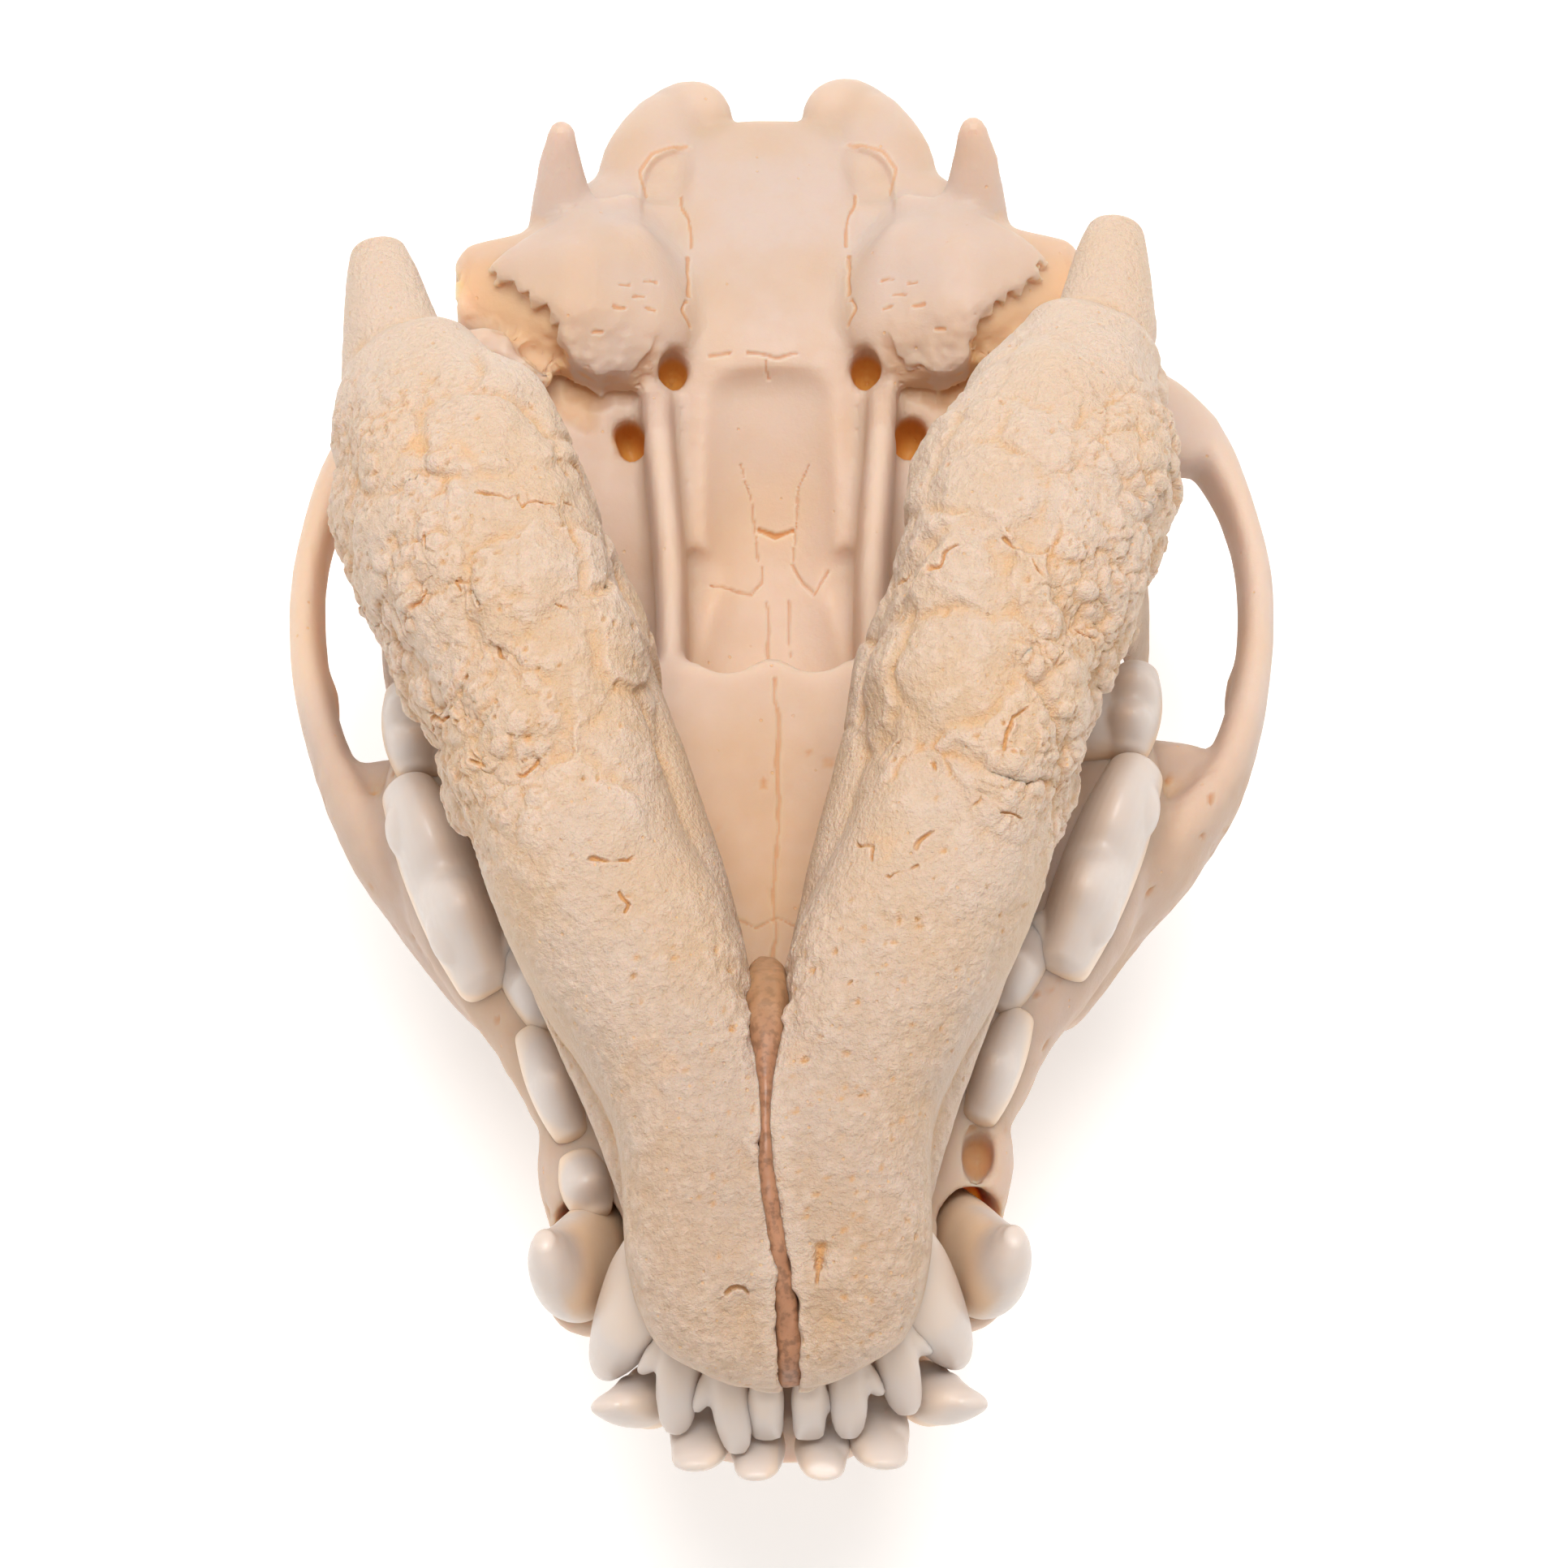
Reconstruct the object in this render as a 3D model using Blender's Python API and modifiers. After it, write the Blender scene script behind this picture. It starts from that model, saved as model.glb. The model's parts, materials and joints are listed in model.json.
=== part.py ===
"""Skull of a young terrier with its lower jaw, lying on its crown with the underside up.

Run it in Blender's text editor, or with blender --background --python part.py.
Sizes are in millimetres in the skull's own frame: minus x is the dog's left, y runs from the front teeth
back to the neck, and z runs from the roof of the mouth towards the underside. world() moves that frame so
that the crown rests on the floor, with the origin under the middle of the skull.
"""

import math

import bmesh
import bpy
from mathutils import Matrix, Vector, noise

MM = 0.001
PALATE_HEIGHT = 53.0
MID_LENGTH = 64.35
MID_WIDTH = 0.95
GAP = 0.3
SOCKET_PLAY = 0.5
JAW_TURN = math.radians(1.3)
JAW_PIVOT = (0.6, 0.0)
JAW_SHIFT = 0.5
CORONOID_LEAN = 0.03
PLATE_SIZE = 8.5
PLATE_HEIGHT = 1.3
ARCH_SHIFT = 0.9
INCISOR_SHIFT = 1.0
LOWER_INCISOR_SHIFT = 0.4
TEETH_SKEW = 0.6

SYMPHYSIS_HALF = 0.8
FACE_CUT = 74.0
LEVEL_CUT = -24.0
ARCH_CUT = 36.5
VOXEL = 0.8
CRANIUM_TRIANGLES = 4900
JAW_TRIANGLES = 2020
BULLA_TRIANGLES = 300
FAR = 150
SIDES = (-1, 1)
SIDE_NAMES = {-1: "left", 1: "right"}

BONE = ((0.86, 0.74, 0.60), 0.6)
ROUGH_BONE = ((0.85, 0.76, 0.62), 0.8)
FIBRE = ((0.42, 0.24, 0.15), 0.7)


def world(point):
    """A point of the skull's frame, in millimetres, as a place in the scene, in metres."""
    x, y, z = point
    return Vector((x - MID_WIDTH, y - MID_LENGTH, z + PALATE_HEIGHT)) * MM


def skull_point(place):
    """The other way round: a place in the scene as a point of the skull's frame."""
    return Vector(place) / MM + Vector((MID_WIDTH, MID_LENGTH, -PALATE_HEIGHT))


def clear_scene():
    for obj in list(bpy.data.objects):
        bpy.data.objects.remove(obj, do_unlink=True)


def new_collection(name):
    made = bpy.data.collections.new(name)
    bpy.context.scene.collection.children.link(made)
    return made


def remove_objects(collection):
    for piece in list(collection.objects):
        bpy.data.objects.remove(piece, do_unlink=True)
    bpy.data.collections.remove(collection)


def catmull(rows, t):
    """Rows of numbers read at t, from 0 to the number of rows less one, along a smooth curve."""
    last = len(rows) - 1
    i = min(int(t), last - 1)
    f = t - i
    a, b, c, d = (rows[min(max(i + k, 0), last)] for k in (-1, 0, 1, 2))
    return [
        0.5 * (2 * q + (r - p) * f + (2 * p - 5 * q + 4 * r - s) * f * f + (3 * q - p - 3 * r + s) * f**3)
        for p, q, r, s in zip(a, b, c, d)
    ]


def section(centre, along, up, half_side, half_up, flare, power, count):
    """One ring of a loft: an oval, squarer with a higher power, and wider towards up with a flare above 0."""
    side_axis = along.cross(up).normalized()
    up_axis = side_axis.cross(along).normalized()
    points = []
    for k in range(count):
        c, s = math.cos(math.tau * k / count), math.sin(math.tau * k / count)
        across = math.copysign(abs(c) ** (2 / power), c) * half_side * (1 + flare * s)
        rise = math.copysign(abs(s) ** (2 / power), s) * half_up
        points.append(centre + side_axis * across + up_axis * rise)
    return points


def finish_mesh(name, mesh, home):
    bmesh.ops.recalc_face_normals(mesh, faces=mesh.faces)
    data = bpy.data.meshes.new(name)
    mesh.to_mesh(data)
    mesh.free()
    made = bpy.data.objects.new(name, data)
    home.objects.link(made)
    return made


def loft(name, rows, home, up=(0, 0, 1), power=2.2, count=20, steps=4, round_ends=0.6):
    """A closed solid through oval sections.

    A row is x, y, z, half width and half height, and then, if given, its flare and its power.
    """
    rows = [(*row, *(0.0, power)[len(row) - 5 :]) for row in rows]
    total = (len(rows) - 1) * steps
    read = [catmull(rows, k / steps) for k in range(total)] + [list(rows[-1])]
    centres = [Vector(r[:3]) for r in read]
    rings = []
    for k, (centre, r) in enumerate(zip(centres, read)):
        along = (centres[min(k + 1, total)] - centres[max(k - 1, 0)]).normalized()
        rings.append(section(centre, along, Vector(up), *r[3:], count))
        if k not in (0, total):
            continue
        way = -1 if k == 0 else 1
        for turn in (0.45, 0.8):
            end = centre + along * way * min(r[3], r[4]) * round_ends * turn
            shrink = math.sqrt(1 - turn * turn)
            cap = section(end, along, Vector(up), r[3] * shrink, r[4] * shrink, *r[5:], count)
            rings.insert(0 if k == 0 else len(rings), cap)
    mesh = bmesh.new()
    made = [[mesh.verts.new(world(p)) for p in points] for points in rings]
    for lower, upper in zip(made, made[1:]):
        for k in range(count):
            n = (k + 1) % count
            mesh.faces.new((lower[k], lower[n], upper[n], upper[k]))
    mesh.faces.new(made[0])
    mesh.faces.new(made[-1])
    return finish_mesh(name, mesh, home)


def ball(name, centre, halves, home, rings=14):
    """An ellipsoid with its half sizes along x, y and z."""
    mesh = bmesh.new()
    bmesh.ops.create_uvsphere(mesh, u_segments=rings + 6, v_segments=rings, radius=1)
    stretch = Matrix.Diagonal((*(h * MM for h in halves), 1))
    mesh.transform(Matrix.Translation(world(centre)) @ stretch)
    return finish_mesh(name, mesh, home)


def block(name, low, high, home):
    """A box between two corners."""
    mesh = bmesh.new()
    bmesh.ops.create_cube(mesh, size=1)
    size = [(b - a) * MM for a, b in zip(low, high)]
    middle = world([(a + b) / 2 for a, b in zip(low, high)])
    mesh.transform(Matrix.Translation(middle) @ Matrix.Diagonal((*size, 1)))
    return finish_mesh(name, mesh, home)


def apply_modifiers(obj):
    """Makes the object's mesh the one that its modifiers give."""
    bpy.context.view_layer.update()
    graph = bpy.context.evaluated_depsgraph_get()
    data = bpy.data.meshes.new_from_object(obj.evaluated_get(graph))
    obj.modifiers.clear()
    obj.data = data


def boolean(obj, operation, other):
    modifier = obj.modifiers.new(operation.lower(), "BOOLEAN")
    modifier.operation = operation
    modifier.solver = "MANIFOLD"
    if isinstance(other, bpy.types.Collection):
        modifier.operand_type = "COLLECTION"
        modifier.collection = other
    else:
        modifier.object = other
    apply_modifiers(obj)


def fuse(obj, pieces):
    """Joins a collection's closed meshes to obj, and removes them."""
    boolean(obj, "UNION", pieces)
    remove_objects(pieces)


def carve(obj, cutters):
    """Cuts a collection's closed meshes out of obj, and removes them."""
    boolean(obj, "DIFFERENCE", cutters)
    remove_objects(cutters)


def soften(obj, rounds):
    """Rounds the creases where fused pieces meet."""
    remesh = obj.modifiers.new("remesh", "REMESH")
    remesh.mode = "VOXEL"
    remesh.voxel_size = VOXEL * MM
    smooth = obj.modifiers.new("smooth", "SMOOTH")
    smooth.factor = 0.5
    smooth.iterations = rounds
    apply_modifiers(obj)


def thin_out(obj, triangles):
    """Fewer triangles where the surface is flat."""
    now = sum(len(face.vertices) - 2 for face in obj.data.polygons)
    decimate = obj.modifiers.new("decimate", "DECIMATE")
    decimate.ratio = min(1.0, triangles / now)
    decimate.use_collapse_triangulate = True
    apply_modifiers(obj)


def largest_body(obj):
    """Keeps only the largest closed surface of the mesh."""
    mesh = bmesh.new()
    mesh.from_mesh(obj.data)
    left = set(mesh.verts)
    bodies = []
    while left:
        stack = [left.pop()]
        body = set(stack)
        while stack:
            for edge in stack.pop().link_edges:
                found = left.intersection(edge.verts)
                left -= found
                body |= found
                stack.extend(found)
        bodies.append(body)
    bodies.sort(key=len, reverse=True)
    loose = [vert for body in bodies[1:] for vert in body]
    bmesh.ops.delete(mesh, geom=loose, context="VERTS")
    mesh.to_mesh(obj.data)
    mesh.free()


def grown_copy(obj, name, distance, home):
    """A copy with its surface pushed out by a distance."""
    made = bpy.data.objects.new(name, obj.data.copy())
    home.objects.link(made)
    for old, vert in zip(obj.data.vertices, made.data.vertices):
        vert.co = old.co + old.normal * distance * MM
    return made


def keep_inside(whole, name, low, high, home):
    """The part of a solid that lies in a box, as an object of its own."""
    made = bpy.data.objects.new(name, whole.data.copy())
    home.objects.link(made)
    box = block(name + "_box", low, high, home)
    boolean(made, "INTERSECT", box)
    bpy.data.objects.remove(box, do_unlink=True)
    largest_body(made)
    return made


def braincase_pieces(home):
    """The domed case round the brain, with the crests, processes and joint knobs at the back of the head."""
    profile = [
        (54, -38.0, -24, 12.0),
        (62, -47.0, -20, 15.0),
        (70, -51.2, -17, 18.0),
        (78, -52.4, -15, 20.5),
        (88, -53.3, -12, 24.6),
        (98, -53.5, -10, 27.0),
        (108, -51.2, -9, 26.4),
        (116, -46.6, -9.5, 23.0),
        (122, -41.5, -11.5, 18.0),
        (125.5, -36.0, -15, 12.0),
    ]
    rows = [(0, y, (top + base) / 2, wide, (base - top) / 2) for y, top, base, wide in profile]
    loft("braincase", rows, home, power=2.25, count=32)
    ridge = [(92, -52.0, 1.4, 0.8), (102, -51.6, 1.5, 1.2), (113, -48.0, 1.5, 1.8), (125, -40.6, 2.2, 2.0)]
    loft("sagittal_crest", [(0, *row) for row in ridge], home)
    ball("occipital_protuberance", (0, 125.5, -40.5), (4.2, 3.0, 2.8), home)
    for side in SIDES:
        nuchal = [
            (0, 126.2, -41, 1.4, 2.0),
            (side * 9, 125.0, -39.5, 1.3, 2.0),
            (side * 17, 120.5, -33.5, 1.3, 2.2),
            (side * 22.6, 115.0, -24.5, 1.3, 2.2),
            (side * 24.5, 111.0, -15.5, 1.8, 2.4),
        ]
        loft(f"nuchal_crest_{side}", nuchal, home, up=(0, 1, 0))
        ball(f"mastoid_{side}", (side * 23.6, 111.5, -12.5), (2.8, 3.2, 4.2), home)
        condyle = [
            (side * 5.0, 125.8, -12.8, 2.0, 2.2),
            (side * 7.2, 128.0, -13.6, 3.6, 4.3),
            (side * 10.6, 125.2, -17.0, 4.2, 4.8),
            (side * 11.2, 123.0, -22.5, 3.0, 3.4),
        ]
        loft(f"occipital_condyle_{side}", condyle, home, up=(0, 1, 0))
        root = [(9.0, 128.0, -13.2, 3.6, 3.2), (10.6, 122.5, -12.0, 5.0, 3.4), (11, 114, -11, 5, 3)]
        loft(f"condyle_root_{side}", [(side * x, *rest) for x, *rest in root], home)
        process = [
            (side * 18.4, 112.5, -11.5, 3.6, 4.0),
            (side * 18.8, 115.6, -7.0, 2.9, 3.2),
            (side * 18.9, 118.8, -3.2, 2.0, 2.2),
            (side * 18.7, 121.6, -0.3, 1.3, 1.2),
        ]
        loft(f"paracondylar_process_{side}", process, home, up=(1, 0, 0))
        wing = [(10, 120.8, -14, 4.0, 5.0), (16, 116.4, -12.6, 4.2, 5.4), (21.4, 112, -13, 4.2, 5.6)]
        loft(f"exoccipital_{side}", [(side * x, *rest) for x, *rest in wing], home)


def skull_base_pieces(home):
    """The floor of the braincase, with the jaw's sockets and the thin crests behind the palate."""
    plate = [
        (0, 86, -13.4, 8.6, 3.0),
        (0, 96, -11.2, 9.4, 3.0),
        (0, 104, -9.5, 10.0, 3.2),
        (0, 114, -9.5, 10.5, 3.2),
        (0, 122, -11.2, 9.0, 3.0),
        (0, 125.6, -12.4, 6.0, 2.4),
    ]
    loft("base_plate", plate, home, power=2.8)
    roof = [(0, 62, -20.5, 8.8, 5.5), (0, 74, -19.5, 8.8, 4.5), (0, 88, -16.0, 8.6, 4.0)]
    loft("throat_roof", roof, home, power=2.6)
    for side in SIDES:
        crest = [
            (side * 8.6, 62, -9.0, 1.2, 8.8),
            (side * 8.4, 70, -9.0, 1.0, 8.4),
            (side * 8.5, 80, -9.6, 0.95, 8.0),
            (side * 9.2, 89, -9.4, 0.95, 7.2),
            (side * 9.9, 95.5, -8.6, 1.1, 5.0),
            (side * 10.0, 98.6, -8.8, 1.2, 2.6),
        ]
        loft(f"pterygoid_{side}", crest, home, power=3.0, count=16)
        temple = [
            (side * 13, 78, -19.0, 4.5, 5.0),
            (side * 14.5, 88, -15.0, 6.0, 5.2),
            (side * 16.5, 97, -13.2, 8.2, 4.6),
            (side * 17.0, 105, -12.0, 8.4, 4.2),
        ]
        loft(f"alisphenoid_{side}", temple, home, power=2.5)
        socket = [
            (side * 20, 98.4, -13.8, 5.4, 4.2),
            (side * 27, 98.6, -13.2, 5.2, 4.2),
            (side * 33.5 + ARCH_SHIFT / 2, 98.0, -13.2, 4.6, 3.9),
            (side * 38.0 + ARCH_SHIFT, 95.6, -14.4, 3.2, 3.8),
        ]
        loft(f"jaw_socket_{side}", socket, home, power=2.6)
        stop = [(25.8, 101.4, -11.5, 4.4, 1.9), (25.9, 101.8, -6.5, 3.9, 1.6), (26.0, 102.0, -2.8, 2.8, 1.1)]
        loft(f"retroarticular_process_{side}", [(side * x, *rest) for x, *rest in stop], home, up=(0, 1, 0))


def arch_rows(side):
    """The cheek's bar, from its root over the large cutting tooth back to the jaw's socket."""
    rows = [
        (22.5, 45.5, -13.5, 6.5, 8.0, 0.0),
        (28.6, 50.0, -11.6, 4.6, 8.4, 0.0),
        (34.8, 55.4, -10.8, 3.2, 7.2, 0.5),
        (39.6, 62.6, -11.6, 2.1, 6.0, 1.0),
        (42.4, 72.0, -13.6, 1.7, 5.0, 1.0),
        (43.2, 82.0, -15.2, 1.5, 4.6, 1.0),
        (41.4, 91.0, -15.6, 1.6, 4.5, 1.0),
        (37.4, 97.0, -15.0, 2.6, 4.3, 1.0),
        (30.4, 99.8, -14.4, 4.0, 4.0, 0.5),
    ]
    return [(side * x + ARCH_SHIFT * shift, y, z, wide, tall) for x, y, z, wide, tall, shift in rows]


def muzzle_pieces(home):
    """The muzzle with its nose bones, and the shelf of the palate with the bone that holds the teeth."""
    profile = [
        (1.6, -8.0, -0.8, 6.5, 9.6),
        (6, -14.0, -0.4, 8.0, 12.6),
        (12, -20.5, -0.2, 8.6, 15.6),
        (18, -22.6, -0.2, 8.8, 17.0),
        (26, -24.6, -0.2, 9.4, 16.8),
        (34, -27.4, -0.2, 11.0, 19.4),
        (42, -31.6, -0.3, 13.0, 24.0),
        (49, -36.4, -0.8, 14.6, 27.6),
        (54, -41.0, -3.6, 15.4, 26.0),
    ]
    rows = []
    for y, top, base, narrow, wide in profile:
        flare = (wide - narrow) / (wide + narrow)
        rows.append((0.4, y, (top + base) / 2, (narrow + wide) / 2, (base - top) / 2, flare))
    loft("muzzle", rows, home, power=2.7, count=32)
    nasals = [(6.5, -19.0, 5.6, 1.9), (16, -21.4, 6.8, 2.6), (34, -25.6, 7.4, 3.2), (50, -34.5, 8.4, 4.4)]
    loft("nasals", [(0, *row) for row in nasals], home)
    palate = [
        (3, -2.4, 9.0, 2.4),
        (14, -2.6, 13.6, 2.4),
        (30, -2.8, 15.6, 2.4),
        (44, -2.8, 21.0, 2.4),
        (58, -2.8, 23.0, 2.4),
        (67.4, -3.0, 13.0, 2.2),
    ]
    loft("palate", [(0, *row) for row in palate], home, power=3.2, count=24)
    for side in SIDES:
        bed = [
            (12.5, 16, -5.0, 5.6, 5.4),
            (15.0, 27, -4.6, 4.4, 5.0),
            (20.0, 38, -4.6, 4.8, 5.2),
            (25.8, 49, -5.2, 6.2, 5.6),
            (28.2, 60, -5.6, 6.2, 5.4),
            (25.6, 67.6, -6.6, 3.8, 3.6),
        ]
        loft(f"tooth_bed_{side}", [(side * x, *rest) for x, *rest in bed], home, power=2.6)
        bulge = [(15.8, 15.0, -2.0, 4.6, 5.4), (14.6, 19.5, -9.0, 4.2, 5.0), (11.2, 27, -16, 3.4, 4)]
        loft(f"canine_bulge_{side}", [(side * x, *rest) for x, *rest in bulge], home, up=(0, 1, 0))
        cheek = [
            (9.0, 34, -18.5, 5.5, 8.0),
            (12.0, 42, -21.5, 6.6, 10.4),
            (14.4, 48.5, -25.5, 6.8, 12.4),
            (15.2, 53.0, -29.5, 5.6, 12.6),
        ]
        loft(f"cheek_{side}", [(side * x, *rest) for x, *rest in cheek], home)


def brow_pieces(home):
    """The forehead, the front rims and inner walls of the eye sockets, and the cheek bars."""
    wall = [(48, -22, 12.5, 14), (58, -23, 11.0, 15), (68, -24, 10.6, 15), (78, -26, 13.0, 14)]
    loft("orbit_wall", [(0, *row) for row in wall], home, power=2.4, count=24)
    forehead = [
        (46, -32.6, 8.0, 5.0),
        (52, -38.6, 9.6, 6.6),
        (58, -43.6, 11.6, 7.2),
        (65, -46.6, 14.0, 5.8),
        (73, -47.4, 15.0, 5.0),
        (84, -46.0, 14.0, 5.0),
    ]
    loft("forehead", [(0, *row) for row in forehead], home, power=2.4, count=24)
    for side in SIDES:
        frontal = [
            (6.0, 44.5, -32.6, 5.0, 4.0),
            (6.8, 50.5, -38.6, 6.6, 5.4),
            (8.4, 57.5, -43.8, 7.8, 6.6),
            (9.8, 64.0, -47.4, 8.8, 6.1),
            (9.8, 70.0, -47.4, 9.2, 5.4),
            (9.0, 77.0, -45.4, 9.0, 4.8),
            (8.0, 84.0, -43.0, 8.0, 4.0),
        ]
        loft(f"frontal_{side}", [(side * x, *rest) for x, *rest in frontal], home)
        tip = [(13.0, 65.5, -47.0, 5.6, 4.8), (18.6, 68.0, -45.8, 3.9, 3.6), (23.2, 70.4, -43.0, 2.0, 2.0)]
        loft(f"brow_process_{side}", [(side * x, *rest) for x, *rest in tip], home)
        rim = [
            (14.6, 58.5, -43.5, 3.8, 3.8),
            (18.4, 55.2, -36.0, 3.0, 3.2),
            (21.4, 53.0, -28.0, 3.2, 3.4),
            (25.6, 52.6, -20.0, 4.0, 4.2),
            (31.6, 55.2, -14.4, 3.8, 4.2),
        ]
        loft(f"orbit_rim_{side}", [(side * x, *rest) for x, *rest in rim], home, up=(0, 1, 0))
        loft(f"zygomatic_arch_{side}", arch_rows(side), home, power=2.4, count=20)
        shelf = [(26.5, 60.4, -9.2, 3.4, 3.6), (32.0, 61.4, -9.6, 3.2, 3.6), (37.0, 61.6, -10.6, 2.8, 4.0)]
        shelf = [(side * x, y + side * TEETH_SKEW, *rest) for x, y, *rest in shelf]
        loft(f"arch_shelf_{side}", shelf, home, power=2.6)
        spur = [(41.6, 70.5, -16.5, 1.4, 4.4), (41.8, 71.6, -20.4, 1.2, 2.7), (41.8, 72.4, -23.4, 0.9, 1.2)]
        spur = [(side * x + ARCH_SHIFT, *rest) for x, *rest in spur]
        loft(f"arch_spur_{side}", spur, home, up=(0, 1, 0))


def cranium_cutters(home):
    """The skull's openings: nose, throat, nerve holes, the spine's hole, and an empty tooth socket."""
    nose = [(-6, -10.0, 6.6, 5.0), (3.0, -11.2, 6.4, 5.6), (12, -12.6, 6.6, 6.2), (24, -14.5, 6.0, 5.6)]
    loft("nose_opening", [(0.4, *row) for row in nose], home)
    throat = [(58, -9.8, 6.6, 4.6), (70, -9.6, 7.0, 5.2), (82, -5.4, 7.2, 9.0), (97, -2.0, 7.8, 7.4)]
    loft("throat_passage", [(0, *row) for row in throat], home, power=2.8)
    spine = [(133, -20.5, 6.2, 6.0), (124, -20.5, 6.2, 6.2), (112, -22, 7.5, 8.0)]
    loft("spine_opening", [(0, *row) for row in spine], home)
    ball("empty_socket", (17.4, 25.2, 0.5), (1.8, 2.8, 5.0), home, rings=10)
    for side in SIDES:
        notch = [(3.9, 76.0, -2.5, 3.6, 5), (3.9, 71.5, -2.5, 3.4, 5)]
        loft(f"palate_notch_{side}", [(side * x, *rest) for x, *rest in notch], home, round_ends=0.8)
        canal = [(18.8, 36, -11.0, 2.0, 2.9), (21.0, 44, -12.0, 2.0, 2.8), (21.5, 49, -13.0, 1.8, 2.4)]
        loft(f"infraorbital_canal_{side}", [(side * x, *rest) for x, *rest in canal], home)
        hollow = [(9.0, 115.6, -5.8, 2.4, 1.6), (9.4, 119.0, -7.8, 2.6, 1.8), (9.4, 122.4, -10.0, 2.4, 1.6)]
        loft(f"condyle_hollow_{side}", [(side * x, *rest) for x, *rest in hollow], home, count=16)
        ball(f"oval_hole_{side}", (side * 12.7, 94.6, -9.0), (1.9, 2.5, 5.0), home, rings=10)
        ball(f"carotid_hole_{side}", (side * 8.9, 100.8, -8.0), (1.5, 1.8, 4.0), home, rings=10)
        ball(f"optic_hole_{side}", (side * 12.4, 80.5, -21.0), (4.4, 2.0, 1.6), home, rings=10)


def tooth_blade(name, start, end, tall, wide, crown, home, up=1):
    """A cheek tooth as a blade along the jaw. crown lists its edge's height along it, as shares of tall."""
    start, end = Vector(start), Vector(end)
    last = len(crown) - 1
    rows = []
    for k, share in enumerate(crown):
        fullness = 0.30 + 0.20 * math.sin(math.pi * (0.12 + 0.76 * k / last))
        rows.append((*start.lerp(end, k / last), wide * fullness, max(tall * share, 1.0)))
    return loft(name, rows, home, up=(0, 0, up), power=2.0, count=8, steps=1, round_ends=0.5)


def tooth_cone(name, root, neck, tip, long_half, wide_half, home, count=6, taper=(1.0, 0.84, 0.6)):
    """A front tooth: a curved cone from its root in the bone through the neck to the tip."""
    root, neck, tip = Vector(root), Vector(neck), Vector(tip)
    middle = neck.lerp(tip, 0.55) + (neck - root).normalized() * (tip - neck).length * 0.06
    rows = [
        (*root, wide_half * 0.75, long_half * 0.75),
        (*neck, wide_half, long_half),
        (*middle, wide_half * taper[0], long_half * 0.76),
        (*neck.lerp(tip, 0.88), wide_half * taper[1], long_half * 0.46),
        (*tip, wide_half * taper[2], long_half * 0.24),
    ]
    return loft(name, rows, home, up=(0, 1, 0), power=2.0, count=count, steps=1, round_ends=0.9)


def upper_front_teeth(side, home):
    incisors = [(2.4, 0.9, 2.8, -3.1, 2.1), (7.0, 1.8, 7.9, -2.4, 2.4), (11.4, 4.2, 15.2, 2.2, 2.6)]
    for n, (x, y, tip_x, tip_y, half) in enumerate(incisors):
        x, tip_x = side * x + INCISOR_SHIFT, side * tip_x + INCISOR_SHIFT
        root, neck, tip = (x * 0.9, y + 4.5, -6), (x, y, -0.5), (tip_x, tip_y, 5.3)
        tooth_cone(f"upper_incisor_{n}_{side}", root, neck, tip, half * 0.95, half, home)
    tooth_cone(
        f"upper_canine_{side}",
        (side * 14.8 + 0.2, 20.0, -8.0),
        (side * 16.9 + 0.3, 14.8, 0.6),
        (side * 19.0 + 0.4, 14.8, 15.4),
        4.8,
        3.1,
        home,
        count=10,
        taper=(0.84, 0.48, 0.24),
    )


def upper_cheek_teeth(side, home):
    """Four premolars, of which the small first one is lost on the right, and two broad molars."""
    low, long = (0.4, 1.0, 0.75, 0.35), (0.35, 0.75, 1.0, 0.7, 0.5, 0.3)
    tall, twin = (0.46, 0.8, 1.0, 0.84, 0.7, 0.8, 0.7, 0.5), (0.5, 1.0, 0.6, 0.95, 0.45)
    blades = [
        (17.6, 27.8, 21.0, 36.6, 5.6, 4.2, long),
        (19.6, 37.6, 23.2, 45.0, 6.0, 4.4, long),
        (25.0, 41.4, 32.0, 58.8, 9.4, 6.8, tall),
        (31.4, 60.6, 32.4, 68.0, 5.4, 5.2, twin),
    ]
    if side < 0:
        blades.append((15.6, 20.9, 17.0, 25.6, 4.2, 4.6, low))
    skew = side * TEETH_SKEW
    for n, (x0, y0, x1, y1, height, wide, crown) in enumerate(blades):
        start, end = (side * x0, y0 + skew, 0), (side * x1, y1 + skew, 0)
        tooth_blade(f"upper_blade_{n}_{side}", start, end, height, wide, crown, home)
    ball(f"upper_premolar_4_lobe_{side}", (side * 23.4, 43.6 + skew, 0), (2.0, 2.4, 2.6), home, rings=5)
    first = [(21.6, 64, -0.8, 2.4, 2.4), (25, 64, -0.6, 3.9, 2.8), (29, 64, -0.4, 4.4, 3), (32.2, 64, -0.4, 4, 3)]
    second = [(19.6, 70.0, -1.4, 1.4, 2.0), (22.6, 70.2, -1.4, 1.9, 2.6), (25.2, 70.2, -1.4, 1.9, 2.8)]
    for n, rows in enumerate((first, second)):
        rows = [(side * x, y + skew, *rest) for x, y, *rest in rows]
        loft(f"upper_molar_{n}_{side}", rows, home, count=8, steps=1)


def condyle_rows(side, play=0.0):
    """The jaw's joint roller. play makes it larger all round, as a tool that cuts its socket."""
    rows = [
        (23.0, 96.9, -4.8, 1.9, 1.9),
        (26.0, 96.9, -5.2, 2.9, 2.8),
        (31.0, 96.3, -5.4, 3.0, 2.9),
        (35.0, 95.6, -5.0, 2.0, 2.0),
    ]
    return [(side * x, y, z, wide + play, tall + play) for x, y, z, wide, tall in rows]


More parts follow.
